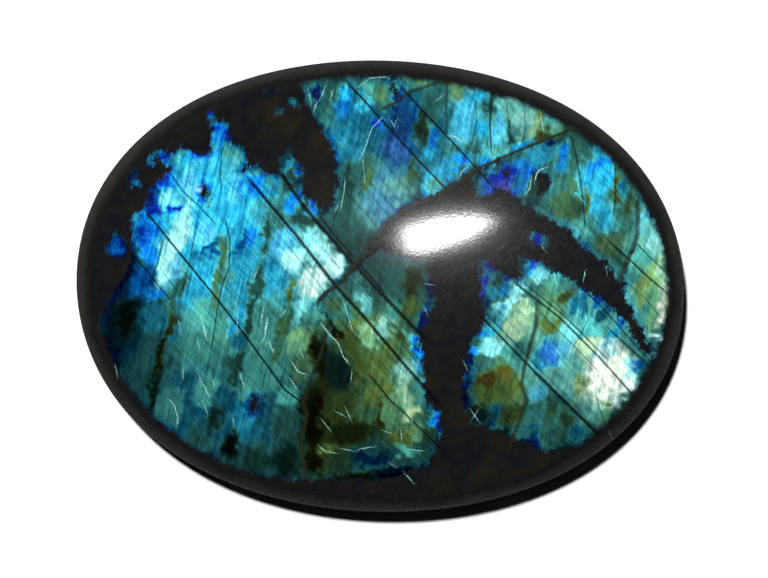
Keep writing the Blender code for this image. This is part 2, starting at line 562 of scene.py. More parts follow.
RIGHT_FIELD = (
    Glow((590, 200), (60, 65), -30, TEAL, 0.54),
    Glow((500, 178), (26, 12), 30, DEEP, 0.85),
    Glow((508, 190), (12, 7), 0, DEEP, 0.80, 0.18),
    Glow((527, 172), (9, 22), -15, AZURE, 0.80),
    Glow((520, 190), (8, 9), -30, AZURE, 0.72),
    Glow((540, 155), (14, 14), -30, CYAN, 0.66),
    Glow((553, 124), (14, 9), 30, TEAL, 0.72, 0.05),
    Glow((562, 130), (9, 5), 30, GREEN, 0.66),
    Glow((544, 134), (6, 6), -30, OLIVE, 0.40),
    Glow((550, 143), (5, 6), -20, DEEP, 0.40),
    Glow((563, 156), (9, 16), -10, AZURE, 0.90),
    Glow((597, 170), (16, 24), -30, AZURE, 1.0),
    Glow((600, 182), (13, 16), -30, CYAN, 0.96),
    Glow((600, 205), (14, 14), -20, CYAN, 0.82),
    Glow((606, 222), (14, 12), -30, CYAN, 0.72),
    Glow((560, 192), (14, 14), -30, TEAL, 0.55),
    Glow((563, 205), (14, 10), 30, GREEN, 0.48),
    Glow((540, 186), (10, 14), -20, GREEN, 0.28),
    Glow((532, 205), (10, 8), 30, TEAL, 0.25),
    Glow((580, 195), (3, 22), -4, AQUA, 0.85),
    Glow((573, 190), (4, 16), -6, GREEN, 0.62),
    Glow((587, 205), (3, 20), -4, OLIVE, 0.55),
    Glow((616, 190), (2.5, 22), 0, OLIVE, 0.45),
    Glow((623, 188), (6, 16), -10, CYAN, 0.62),
    Glow((630, 207), (7, 14), -10, GREEN, 0.36),
    Glow((582, 225), (9, 14), -10, TEAL, 0.76),
    Glow((589, 248), (7, 16), -30, CYAN, 0.48),
    Glow((608, 248), (18, 18), -30, GREEN, 0.44, 0.04),
    Glow((575, 212), (8, 12), -20, GREEN, 0.42),
    Glow((612, 268), (9, 10), -30, TEAL, 0.50),
    Glow((538, 239), (11, 7), 60, DEEP, 0.88),
    # Sliver; its near-white glows along the right shoulder are a painted highlight over the green flash
    Glow((648, 268), (22, 70), -2, GREEN, 0.95, 0.06),
    Glow((645, 225), (7, 26), -14, AQUA, 0.84, 0.08),
    Glow((655, 240), (6, 24), -20, AQUA, 0.95, 0.25),
    Glow((661, 268), (5, 22), -10, GREEN, 1.0, 0.35),
    Glow((644, 258), (9, 14), -30, TEAL, 0.80),
    Glow((645, 288), (9, 22), -20, MOSS, 0.80, 0.06),
    Glow((630, 284), (6, 20), -20, TEAL, 0.62),
    Glow((653, 290), (6, 22), -20, GREEN, 0.84),
    Glow((643, 315), (7, 18), -30, TEAL, 0.62),
    Glow((652, 320), (5, 20), -15, GREEN, 0.70),
    Glow((642, 335), (5, 10), 40, TEAL, 0.38),
    # Painted highlight: a near-white crescent of light along the right shoulder
    Glow((664, 292), (4, 16), -2, GREEN, 1.0, 0.85),
    Glow((663, 316), (4, 20), 6, GREEN, 1.0, 0.95),
    Glow((657, 340), (4, 14), 18, AQUA, 1.0, 0.6),
    Glow((652, 354), (5, 5), 30, AQUA, 0.95, 0.25),
    Glow((670, 320), (3, 26), 6, OLIVE, 0.72),
)

LOWER_RIGHT = (
    Glow((560, 350), (90, 70), 40, TEAL, 0.74, 0.06),
    Glow((550, 420), (60, 34), 20, TEAL, 0.46),
    Glow((485, 280), (8, 18), -20, DEEP, 0.72, 0.04),
    Glow((506, 283), (16, 6), 60, AZURE, 0.72),
    Glow((486, 302), (8, 10), -30, AZURE, 0.30),
    Glow((496, 293), (7, 7), -30, CYAN, 0.52),
    Glow((515, 296), (20, 8), 60, AQUA, 1.0, 0.2),
    Glow((533, 264), (12, 8), 60, AZURE, 1.0),
    Glow((538, 276), (11, 10), 50, AQUA, 1.0, 0.15),
    Glow((521, 300), (5, 5), 0, AQUA, 1.0, 0.8),
    Glow((505, 306), (10, 7), 60, AQUA, 1.0, 0.25),
    Glow((555, 282), (8, 12), -20, TEAL, 0.80),
    Glow((498, 320), (5, 12), -10, CYAN, 0.68),
    Glow((518, 326), (15, 20), -20, GREEN, 0.88, 0.3),
    Glow((529, 307), (7, 8), -30, GREEN, 1.0, 0.3),
    Glow((488, 334), (12, 9), 20, CYAN, 0.84),
    Glow((491, 349), (12, 10), 20, AQUA, 1.0, 0.2),
    Glow((508, 352), (8, 12), -30, TEAL, 0.76),
    Glow((475, 350), (7, 6), 50, AZURE, 1.0),
    Glow((467, 364), (6, 11), -30, DEEP, 0.50),
    Glow((522, 350), (6, 12), -20, TEAL, 0.50),
    Glow((496, 390), (28, 22), 30, MOSS, 0.46),
    Glow((487, 380), (11, 8), 30, BRONZE, 0.42),
    Glow((504, 372), (10, 9), -30, OLIVE, 0.62),
    Glow((518, 385), (7, 15), -10, MOSS, 0.60),
    Glow((466, 385), (6, 14), -30, AZURE, 0.34),
    Glow((462, 402), (9, 10), 50, AZURE, 0.24),
    Glow((495, 414), (8, 12), -30, CYAN, 0.34),
    Glow((510, 415), (10, 16), -20, MOSS, 0.32),
    Glow((478, 412), (12, 10), 40, TEAL, 0.14),
    Glow((548, 306), (14, 20), -30, GREEN, 0.78),
    Glow((549, 326), (9, 9), -30, MOSS, 0.66),
    Glow((566, 298), (8, 13), -30, MOSS, 0.36),
    Glow((578, 306), (9, 14), -20, CYAN, 0.62),
    Glow((590, 325), (12, 16), -30, AQUA, 0.90),
    Glow((567, 331), (11, 12), -30, AQUA, 0.92, 0.1),
    Glow((549, 354), (14, 16), -30, AZURE, 0.84, 0.04),
    Glow((538, 360), (7, 14), -10, CYAN, 0.62),
    Glow((565, 350), (10, 12), -30, CYAN, 1.0, 0.12),
    Glow((585, 348), (12, 14), -40, GREEN, 1.0, 0.4),
    Glow((555, 376), (14, 10), 30, TEAL, 0.70, 0.08),
    Glow((538, 393), (10, 12), -30, CYAN, 0.68, 0.06),
    Glow((572, 388), (14, 14), -30, TEAL, 0.75, 0.12),
    Glow((580, 388), (4, 16), -6, MOSS, 0.60),
    Glow((592, 385), (7, 16), -10, GREEN, 0.98, 0.25),
    Glow((597, 405), (10, 16), -20, TEAL, 0.80, 0.06),
    Glow((585, 412), (9, 14), -30, TEAL, 0.58, 0.04),
    Glow((608, 376), (24, 34), -30, GREEN, 1.06, 0.8, 0.4),
    Glow((608, 345), (14, 10), 50, AQUA, 1.0, 0.6),
    Glow((632, 372), (7, 16), 10, AQUA, 1.0, 0.25),
    Glow((629, 384), (6, 8), -30, AQUA, 1.0, 0.85),
    Glow((615, 401), (6, 9), -30, AQUA, 1.0, 0.8),
    Glow((609, 408), (3, 10), -6, MOSS, 0.55),
    Glow((603, 418), (6, 10), -30, GREEN, 0.66),
    Glow((640, 367), (9, 7), 50, AZURE, 0.58),
    Glow((600, 298), (12, 5), 50, AZURE, 0.70),
    Glow((604, 314), (8, 12), -30, CYAN, 0.38),
    Glow((620, 325), (5, 8), 10, AZURE, 0.84),
    Glow((612, 335), (12, 8), 50, CYAN, 0.74),
    Glow((583, 287), (6, 5), 40, AZURE, 0.72),
    Glow((534, 428), (10, 16), -20, CYAN, 0.45),
    Glow((532, 440), (9, 9), -30, AZURE, 0.38),
    Glow((550, 410), (4, 16), -6, GREEN, 0.34),
    Glow((566, 420), (5, 14), -10, GREEN, 0.26),
    Glow((560, 440), (20, 12), 30, TEAL, 0.34),
    Glow((578, 432), (9, 10), -30, CYAN, 0.44),
    Glow((560, 458), (40, 8), 20, TEAL, 0.08),
    Glow((500, 440), (14, 12), 30, TEAL, 0.10),
)

MIDDLE_GREEN = (
    Glow((375, 360), (60, 75), 30, GREEN, 0.56),
    Glow((400, 282), (26, 26), -30, TEAL, 0.40),
    Glow((412, 285), (9, 16), -10, MOSS, 0.22),
    Glow((410, 306), (9, 14), -30, MOSS, 0.46),
    Glow((360, 284), (12, 10), -40, TEAL, 0.56),
    Glow((364, 300), (9, 14), 40, AQUA, 0.82, 0.1),
    Glow((378, 286), (10, 12), -30, TEAL, 0.36),
    Glow((392, 312), (9, 12), 40, TEAL, 0.66),
    Glow((384, 325), (10, 11), 30, TEAL, 0.90, 0.2),
    Glow((406, 336), (6, 12), 30, TEAL, 0.78),
    Glow((398, 336), (6, 10), 20, MOSS, 0.42),
    Glow((416, 345), (5, 13), 10, AZURE, 1.0),
    Glow((417, 364), (5, 12), 5, CYAN, 0.76),
    Glow((330, 310), (12, 10), -30, GREEN, 0.46),
    Glow((346, 310), (5, 16), 20, TEAL, 0.62),
    Glow((356, 325), (7, 12), -20, MOSS, 0.66),
    Glow((367, 335), (7, 14), 20, GREEN, 0.88, 0.12),
    Glow((388, 355), (14, 10), 40, MOSS, 0.62),
    Glow((372, 370), (18, 20), -30, MOSS, 0.58),
    Glow((405, 372), (14, 14), 30, TEAL, 0.86, 0.2),
    Glow((402, 395), (12, 16), -10, GREEN, 0.88, 0.25),
    Glow((384, 388), (8, 12), -20, MOSS, 0.60),
    Glow((420, 392), (6, 20), -6, TEAL, 0.62),
    Glow((411, 413), (9, 12), -30, MOSS, 0.95, 0.35),
    Glow((392, 412), (9, 20), -20, GREEN, 0.62),
    Glow((412, 433), (11, 12), -30, GREEN, 0.66, 0.06),
    Glow((400, 440), (12, 12), 30, MOSS, 0.46),
    Glow((405, 450), (14, 5), 0, TEAL, 0.68),
    Glow((408, 461), (20, 7), 0, TEAL, 0.32),
    Glow((435, 419), (12, 7), 50, AZURE, 0.90),
    Glow((442, 428), (4, 8), 0, AZURE, 0.66),
    Glow((430, 436), (7, 9), -30, GREEN, 0.28),
    Glow((425, 320), (7, 18), -6, DEEP, 0.45),
    Glow((424, 310), (3, 4), 40, CYAN, 0.70),
    Glow((430, 288), (7, 14), -6, AZURE, 0.22),
    # Dark wedge
    Glow((332, 408), (30, 72), -12, MOSS, 0.27),
    Glow((322, 360), (10, 30), 10, OLIVE, 0.12),
    Glow((338, 370), (13, 28), 20, TEAL, 0.16),
    Glow((312, 420), (11, 36), -2, OLIVE, 0.10),
    Glow((350, 345), (9, 22), 35, MOSS, 0.40),
    Glow((335, 330), (4, 14), 30, OLIVE, 0.12),
    Glow((362, 405), (15, 24), -30, GREEN, 0.44),
    Glow((344, 402), (12, 16), -30, MOSS, 0.34),
    Glow((372, 395), (9, 16), -30, MOSS, 0.56),
    Glow((352, 432), (26, 12), 10, MOSS, 0.16),
    Glow((380, 420), (4, 18), -4, OLIVE, 0.26),
    Glow((326, 448), (12, 4), 0, MOSS, 0.50),
    Glow((368, 458), (24, 7), 0, AZURE, 0.22),
    Glow((372, 466), (16, 3), 5, CYAN, 0.36),
    Glow((338, 462), (18, 8), 20, GREEN, 0.26),
    Glow((312, 462), (9, 14), -10, OLIVE, 0.12),
    Glow((358, 480), (26, 10), 0, BRONZE, 0.10),
    Glow((400, 476), (30, 9), 0, AZURE, 0.10),
    Glow((432, 478), (12, 12), -30, TEAL, 0.14),
)

GLOWS = LEFT_BLAZE + UPPER_MIDDLE + RIGHT_FIELD + LOWER_RIGHT + MIDDLE_GREEN

TWIN_LINES = (
    Seam(DARK, 0.8, 0.85, ((120, 238), (135, 257), (150, 275), (170, 300))),
    Seam(DARK, 1.0, 1.0,
         ((147, 213), (165, 235), (190, 266), (218, 300), (245, 335), (285, 390), (304, 404))),
    Seam(DARK, 0.7, 0.8, ((168, 170), (182, 190), (200, 207), (214, 222))),
    Seam(DARK, 1.5, 1.0,
         ((250, 180), (268, 202), (300, 240), (335, 285), (365, 318), (402, 362), (440, 405))),
    Seam(DARK, 1.7, 1.0,
         ((280, 172), (297, 197), (315, 220), (350, 260), (375, 287), (400, 313), (428, 342))),
    Seam(DARK, 1.0, 0.9, ((321, 218), (336, 237), (356, 260), (384, 292))),
    Seam(DARK, 0.9, 0.9, ((370, 375), (390, 400), (420, 428), (444, 452))),
    Seam(DARK, 0.9, 1.0, ((348, 83), (380, 118), (400, 140), (420, 162), (447, 190))),
    Seam(DARK, 0.9, 1.0, ((402, 88), (420, 108), (445, 134), (478, 170), (500, 195))),
    Seam(DARK, 0.9, 1.0, ((478, 313), (525, 362), (536, 373))),
    Seam(DARK, 1.6, 1.0, ((534, 371), (560, 397), (602, 438))),
    Seam(DARK, 0.6, 0.8, ((486, 313), (524, 353), (542, 372))),
    Seam(DARK, 1.0, 0.9, ((515, 283), (560, 318), (600, 358), (632, 394))),
    Seam(DARK, 0.7, 0.8, ((524, 283), (562, 314), (582, 333), (606, 358))),
    Seam(DARK, 0.6, 0.7, ((540, 312), (575, 347), (598, 371))),
    Seam(DARK, 0.9, 0.8, ((575, 282), (600, 305), (640, 350), (652, 362))),
    Seam(DARK, 0.8, 0.8, ((610, 330), (634, 352), (658, 374))),
    Seam(DARK, 1.0, 0.9, ((612, 244), (632, 262), (648, 277), (666, 292))),
    Seam(DARK, 0.7, 0.8, ((636, 243), (650, 257), (664, 271))),
    Seam(DARK, 0.6, 0.6, ((632, 286), (645, 298), (660, 317))),
    Seam(DARK, 0.7, 0.8, ((635, 328), (657, 352))),
    Seam(DARK, 0.6, 0.5, ((262, 215), (290, 248), (325, 292), (360, 335))),
    Seam(DARK, 0.6, 0.5, ((240, 232), (265, 252), (290, 275))),
    Seam(DARK, 0.6, 0.6, ((350, 278), (370, 300), (392, 324), (420, 352))),
    Seam(DARK, 0.6, 0.5, ((340, 320), (370, 352), (396, 378))),
    Seam(DARK, 0.5, 0.5, ((400, 335), (430, 372))),
    Seam(DARK, 0.5, 0.5, ((160, 268), (176, 290))),
    Seam(DARK, 0.5, 0.4, ((395, 150), (430, 190))),
    Seam(DARK, 0.5, 0.5, ((298, 315), (320, 345))),
)

STEEP_LINES = (
    Seam(DARK, 0.6, 0.7, ((222, 148), (220, 172), (221, 190))),
    Seam(DARK, 0.6, 0.7, ((190, 160), (189, 172), (185, 187))),
    Seam(DARK, 0.8, 0.8, ((226, 222), (230, 240), (229, 268), (222, 285), (217, 310), (212, 345))),
    Seam(DARK, 0.7, 0.6, ((197, 222), (190, 262), (180, 300), (176, 325))),
    Seam(DARK, 0.8, 0.9, ((492, 90), (490, 120), (491, 150))),
    Seam(DARK, 0.6, 0.7, ((507, 106), (510, 130), (511, 154))),
    Seam(DARK, 0.6, 0.6, ((475, 100), (477, 122), (472, 140))),
    Seam(DARK, 0.5, 0.6, ((525, 110), (524, 140))),
    Seam(DARK, 0.8, 0.8, ((572, 138), (576, 155), (579, 172), (582, 192), (585, 226))),
    Seam(DARK, 0.7, 0.8, ((615, 164), (616, 190), (614, 214))),
    Seam(DARK, 0.6, 0.7, ((585, 296), (588, 320), (575, 345))),
    Seam(DARK, 0.6, 0.7, ((596, 396), (600, 410), (606, 424))),
    Seam(DARK, 0.9, 0.8, ((150, 284), (158, 262), (163, 240))),
)

GRAIN_BOUNDARIES = (
    Seam(BROWN, 1.6, 1.0,
         ((316, 304), (325, 293), (335, 287), (343, 282), (350, 272), (366, 248), (378, 232),
          (390, 219), (410, 205), (430, 199), (447, 189), (479, 168), (520, 150), (545, 140), (575, 128))),
    Seam(BROWN, 1.5, 0.9, ((380, 110), (395, 103), (412, 91), (425, 87), (447, 79))),
    Seam(BROWN, 2.2, 0.85, ((637, 196), (638, 215), (637, 235), (632, 250), (624, 266), (620, 282))),
    Seam(BROWN, 1.8, 0.85,
         ((537, 298), (536, 325), (530, 345), (525, 365), (521, 385), (527, 400), (520, 420), (508, 450))),
    Seam(BROWN, 1.2, 0.7, ((447, 82), (446, 105), (447, 132))),
    Seam(BROWN, 1.5, 0.9,
         ((329, 322), (322, 350), (310, 380), (303, 403), (307, 415), (301, 445), (306, 478))),
)

# Painted glints: short white streaks of light off small cracks in the stone
CRACK_GLINTS = (
    Seam(BRIGHT, 1.6, 1.0, ((203, 323), (206, 337))),
    Seam(BRIGHT, 1.4, 1.0, ((267, 320), (265, 334))),
    Seam(BRIGHT, 1.3, 1.0, ((270, 344), (272, 349))),
    Seam(BRIGHT, 0.8, 0.9, ((264, 306), (261, 320))),
    Seam(BRIGHT, 0.8, 0.9, ((264, 338), (261, 343))),
    Seam(BRIGHT, 0.8, 0.8, ((257, 271), (254, 277))),
    Seam(BRIGHT, 0.9, 0.8, ((285, 311), (282, 315))),
    Seam(BRIGHT, 0.8, 0.8, ((238, 312), (237, 332))),
    Seam(BRIGHT, 0.7, 0.9, ((380, 120), (372, 128), (366, 145), (361, 157))),
    Seam(BRIGHT, 0.6, 0.6, ((363, 160), (365, 182))),
    Seam(BRIGHT, 0.7, 0.7, ((345, 180), (344, 192), (341, 208))),
    Seam(BRIGHT, 0.9, 0.8, ((338, 205), (336, 209))),
    Seam(BRIGHT, 0.8, 0.8, ((309, 94), (311, 103))),
    Seam(BRIGHT, 0.6, 0.8, ((324, 90), (320, 99))),
    Seam(BRIGHT, 0.7, 0.8, ((316, 104), (314, 111))),
    Seam(BRIGHT, 0.9, 0.9, ((332, 93), (331, 97))),
    Seam(BRIGHT, 0.8, 0.7, ((360, 86), (370, 78), (385, 77))),
    Seam(BRIGHT, 0.7, 0.7, ((391, 121), (394, 126), (396, 121))),
    Seam(BRIGHT, 0.7, 0.7, ((436, 101), (442, 96))),
    Seam(BRIGHT, 0.9, 0.9, ((451, 136), (456, 137), (462, 142))),
    Seam(BRIGHT, 0.9, 0.9, ((460, 176), (462, 171), (465, 169))),
    Seam(BRIGHT, 0.9, 1.0, ((545, 168), (539, 170), (536, 175), (535, 181))),
    Seam(BRIGHT, 0.8, 0.9, ((531, 179), (530, 188), (526, 193))),
    Seam(BRIGHT, 0.8, 0.8, ((541, 116), (543, 131))),
    Seam(BRIGHT, 0.7, 0.8, ((425, 309), (427, 313))),
    Seam(BRIGHT, 0.8, 0.9, ((327, 332), (338, 343), (343, 356), (348, 363))),
    Seam(BRIGHT, 0.9, 0.8, ((322, 325), (327, 331))),
    Seam(BRIGHT, 0.7, 0.7, ((344, 303), (349, 318), (351, 327))),
    Seam(BRIGHT, 0.8, 0.8, ((292, 362), (298, 372), (305, 374))),
    Seam(BRIGHT, 0.8, 0.8, ((291, 380), (297, 389))),
    Seam(BRIGHT, 0.7, 0.7, ((301, 352), (303, 357))),
    Seam(BRIGHT, 0.7, 0.8, ((203, 384), (209, 396))),
    Seam(BRIGHT, 0.7, 0.8, ((199, 376), (201, 382))),
    Seam(BRIGHT, 0.7, 0.7, ((213, 380), (214, 386))),
    Seam(BRIGHT, 0.8, 0.8, ((170, 400), (174, 405), (178, 418), (177, 424))),
    Seam(BRIGHT, 0.7, 0.6, ((204, 404), (207, 413))),
    Seam(BRIGHT, 0.7, 0.7, ((183, 368), (183, 378))),
    Seam(BRIGHT, 0.7, 0.7, ((198, 342), (199, 348))),
    Seam(BRIGHT, 0.6, 0.6, ((179, 322), (180, 330))),
    Seam(BRIGHT, 0.6, 0.6, ((116, 368), (117, 374))),
    Seam(BRIGHT, 0.8, 0.7, ((240, 374), (244, 386))),
    Seam(BRIGHT, 0.6, 0.7, ((233, 418), (234, 425))),
    Seam(BRIGHT, 0.7, 0.8, ((337, 412), (344, 416))),
    Seam(BRIGHT, 0.7, 0.8, ((346, 409), (350, 418))),
    Seam(BRIGHT, 0.7, 0.7, ((322, 420), (330, 430))),
    Seam(BRIGHT, 0.8, 0.8, ((320, 447), (325, 451), (334, 453))),
    Seam(BRIGHT, 0.7, 0.7, ((343, 449), (354, 451))),
    Seam(BRIGHT, 0.7, 0.7, ((360, 449), (372, 447))),
    Seam(BRIGHT, 0.8, 0.8, ((408, 449), (422, 451))),
    Seam(BRIGHT, 0.8, 0.8, ((405, 474), (412, 481))),
    Seam(BRIGHT, 1.0, 0.9, ((401, 433), (402, 438))),
    Seam(BRIGHT, 0.8, 0.8, ((385, 431), (390, 433))),
    Seam(BRIGHT, 0.8, 0.8, ((391, 464), (393, 465))),
    Seam(BRIGHT, 0.8, 0.7, ((472, 412), (478, 420))),
    Seam(BRIGHT, 0.6, 0.6, ((477, 412), (473, 418))),
    Seam(BRIGHT, 0.9, 0.8, ((402, 404), (408, 412), (412, 420))),
    Seam(BRIGHT, 0.9, 0.9, ((585, 273), (584, 278))),
    Seam(BRIGHT, 0.7, 0.7, ((543, 248), (545, 250))),
    Seam(BRIGHT, 0.6, 0.6, ((606, 269), (607, 272))),
    Seam(BRIGHT, 0.6, 0.7, ((464, 363), (467, 368))),
    Seam(BRIGHT, 0.7, 0.7, ((555, 276), (556, 285))),
    Seam(BRIGHT, 0.7, 0.6, ((610, 435), (612, 438))),
    Seam(BRIGHT, 0.7, 0.6, ((426, 284), (434, 285))),
    Seam(BRIGHT, 0.6, 0.7, ((352, 372), (351, 380))),
)

SEAMS = TWIN_LINES + STEEP_LINES + GRAIN_BOUNDARIES + CRACK_GLINTS

CHANNELS = {SeamKind.DARK: 3, SeamKind.BROWN: 1, SeamKind.BRIGHT: 2}


def channel_names(kind: SeamKind) -> list[str]:
    """The names of the fields that hold seams of this kind."""
    return [f"{kind.value}_{i}" for i in range(CHANNELS[kind])]


def smooth_step(value: np.ndarray, start: float, end: float) -> np.ndarray:
    """A smooth step of an array, from 0 at the start to 1 at the end."""
    share = np.clip((value - start) / (end - start), 0.0, 1.0)
    return share * share * (3 - 2 * share)


def ripple(points: np.ndarray, wavelength: float, seed: int) -> np.ndarray:
    """A soft random ripple.

    Args:
        points: Rows of x and y.
        wavelength: Its mean wavelength, in the points' unit.
        seed: Seed of its random waves.

    Returns:
        One value a point, mostly between -1 and 1.
    """
    random = np.random.default_rng(seed)
    waves = 9
    slowest, fastest = 0.6, 1.6
    turn = random.uniform(0, 2 * math.pi, waves)
    rate = 2 * math.pi / wavelength * random.uniform(slowest, fastest, waves)
    phase = random.uniform(0, 2 * math.pi, waves)
    along = points[:, :1] * (np.cos(turn) * rate) + points[:, 1:] * (np.sin(turn) * rate)
    return np.sin(along + phase).sum(axis=1) / math.sqrt(waves)


def away_squared(points: np.ndarray, start: Place, end: Place) -> np.ndarray:
    """Squared distance of points to a straight stretch.

    Args:
        points: Rows of x and y.
        start: Where the stretch starts.
        end: Where it ends.

    Returns:
        One value a point.
    """
    x, y = points[:, 0] - start[0], points[:, 1] - start[1]
    dx, dy = end[0] - start[0], end[1] - start[1]
    share = np.clip((x * dx + y * dy) / (dx * dx + dy * dy), 0, 1)
    return (x - share * dx) ** 2 + (y - share * dy) ** 2


def inside_distance(points: np.ndarray, outline: Path) -> np.ndarray:
    """Distance to a closed outline.

    Args:
        points: Rows of x and y in pixels.
        outline: The outline's corners.

    Returns:
        The distance in pixels, positive inside the outline.
    """
    x, y = points[:, 0], points[:, 1]
    nearest = np.full(len(points), FAR)
    inside = np.zeros(len(points), bool)
    for start, end in zip(outline, outline[1:] + outline[:1]):
        nearest = np.minimum(nearest, away_squared(points, start, end))
        dx, dy = end[0] - start[0], end[1] - start[1]
        if dy:
            crosses = (start[1] > y) != (end[1] > y)
            inside ^= crosses & (x < start[0] + dx * (y - start[1]) / dy)
    distance = np.sqrt(nearest)
    return np.where(inside, distance, -distance)


def path_distance(points: np.ndarray, path: Path) -> tuple[np.ndarray, np.ndarray]:
    """Distance to a path.

    Args:
        points: Rows of x and y in pixels.
        path: The path's points.

    Returns:
        The distance, signed by the side of the path, and the distance to the path's nearer end.
    """
    x, y = points[:, 0], points[:, 1]
    nearest = np.full(len(points), FAR)
    side = np.ones(len(points))
    for start, end in zip(path[:-1], path[1:]):
        away = away_squared(points, start, end)
        closer = away < nearest
        nearest = np.where(closer, away, nearest)
        dx, dy = end[0] - start[0], end[1] - start[1]
        side = np.where(closer, np.sign(dx * (y - start[1]) - dy * (x - start[0])), side)
    ends = [np.hypot(x - end_x, y - end_y) for end_x, end_y in (path[0], path[-1])]
    return np.sqrt(nearest) * side, np.minimum(*ends)


@dataclass(frozen=True)
class Pattern:
    """Turns the zones, glows and seams into smooth fields over the stone's points, in pixels."""

    edge_clip: float = 14.0
    base_hue: float = Sheen.TEAL.value
    base_tone: float = 0.30
    warp: float = 3.0
    warp_wavelength: float = 26.0
    feather: float = 1.9
    feather_wavelength: float = 10.0
    warp_seeds: tuple[int, int] = (11, 12)
    feather_seeds: tuple[int, int] = (13, 14)
    outer_fade: float = 0.6
    seam_clip: float = 5.0
    seam_near: float = 2.8
    seam_far: float = 5.2
    seam_taper: float = 5.0
    seam_taper_widths: float = 3.0
    seam_end: float = 0.45
    seam_room: float = 11.0

    def edge(self, points: np.ndarray) -> np.ndarray:
        """Distance to the edge of what flashes.

        Args:
            points: Rows of x and y in pixels.

        Returns:
            The distance, positive where the stone flashes.
        """
        edge = np.full(len(points), -self.edge_clip)
        for zone in ZONES:
            LOG.debug("zone: %s", zone.name)
            inside = inside_distance(points, zone.outline)
            edge = np.maximum(edge, inside) if zone.lit else np.minimum(edge, -inside)
        return np.clip(edge, -self.edge_clip, self.edge_clip)

    def warped(self, points: np.ndarray) -> np.ndarray:
        """Points moved a little to and fro, which feathers the borders between glows.

        Args:
            points: Rows of x and y in pixels.

        Returns:
            The moved points.
        """
        coarse_x, coarse_y = (
            ripple(points, self.warp_wavelength, seed) * self.warp for seed in self.warp_seeds
        )
        fine_x, fine_y = (
            ripple(points, self.feather_wavelength, seed) * self.feather
            for seed in self.feather_seeds
        )
        return points + np.stack([coarse_x + fine_x, coarse_y + fine_y], axis=1)

    def glow_share(self, points: np.ndarray, glow: Glow) -> np.ndarray:
        """How strongly a glow covers each point.

        Args:
            points: Rows of x and y in pixels.
            glow: The glow.

        Returns:
            One share a point, from 0 to 1.
        """
        lean = math.radians(glow.lean)
        x, y = points[:, 0] - glow.place[0], glow.place[1] - points[:, 1]
        across = x * math.cos(lean) + y * math.sin(lean)
        upwards = y * math.cos(lean) - x * math.sin(lean)
        out = np.hypot(across / glow.reach[0], upwards / glow.reach[1])
        return 1 - smooth_step(out, 1 - glow.fade, 1 + glow.fade * self.outer_fade)

    def glow(self, points: np.ndarray) -> dict[str, np.ndarray]:
        """The flash's look, laid on glow by glow, each one over those before it.

        Args:
            points: Rows of x and y in pixels.

        Returns:
            Its hue, tone and paling to white, which also carries the painted highlight on the right
            shoulder.
        """
        moved = self.warped(points)
        hue = np.full(len(points), self.base_hue)
        tone = np.full(len(points), self.base_tone)
        milk_and_highlight = np.zeros(len(points))
        for glow in GLOWS:
            share = self.glow_share(moved, glow)
            hue += (glow.sheen.value - hue) * share
            tone += (glow.tone - tone) * share
            milk_and_highlight += (glow.milk_and_highlight - milk_and_highlight) * share
        return {"hue": hue, "tone": tone, "milk_and_highlight": milk_and_highlight}

    def room(self, seam: Seam, others: list[Seam]) -> float:
        """How far a seam lies from the nearest of some others.

        Args:
            seam: The seam.
            others: The seams already in a channel.

        Returns:
            The gap in pixels, measured from the points of the paths.
        """
        gaps = [FAR]
        for other in others:
            for path, points in ((other.path, seam.path), (seam.path, other.path)):
                gaps.append(np.abs(path_distance(np.array(points), path)[0]).min())
        return min(gaps)

    def channels(self) -> dict[str, list[Seam]]:
        """Shares the seams out, so that near or crossing ones lie in different channels.

        Returns:
            The seams of each channel, by its name.
        """
        shared = {name: [] for kind in SeamKind for name in channel_names(kind)}
        for seam in SEAMS:
            rooms = {name: self.room(seam, shared[name]) for name in channel_names(seam.kind)}
            free = [name for name, room in rooms.items() if room > self.seam_room]
            shared[free[0] if free else max(rooms, key=rooms.get)].append(seam)
        return shared

    def seams(self, points: np.ndarray) -> dict[str, np.ndarray]:
        """Two fields for each channel.

        Args:
            points: Rows of x and y in pixels.

        Returns:
            The distance across the channel's nearest seam in half widths, and how near that is.
        """
        fields = {}
        for name, seams in self.channels().items():
            best = np.full(len(points), FAR)
            across = np.full(len(points), self.seam_clip)
            strength = np.zeros(len(points))
            for seam in seams:
                distance, to_end = path_distance(points, seam.path)
                closer = np.abs(distance) < best
                best = np.where(closer, np.abs(distance), best)
                near = 1 - smooth_step(np.abs(distance), self.seam_near, self.seam_far)
                taper = min(self.seam_taper, self.seam_taper_widths * seam.half_width)
                near *= self.seam_end + (1 - self.seam_end) * smooth_step(to_end, 0, taper)
                scaled = np.clip(distance / seam.half_width, -self.seam_clip, self.seam_clip)
                across = np.where(closer, scaled, across)
                strength = np.where(closer, near * seam.strength, strength)
            fields[name] = across
            fields[name + "_near"] = strength
        return fields


GRAIN_ROUGHNESS = 0.6


@dataclass(frozen=True)
class GrainSize:
    """One use of the drawn grain: its turn, its lengths in millimetres, its detail and shift."""

    turn: float
    along: float
    across: float
    detail: float
    shift: float


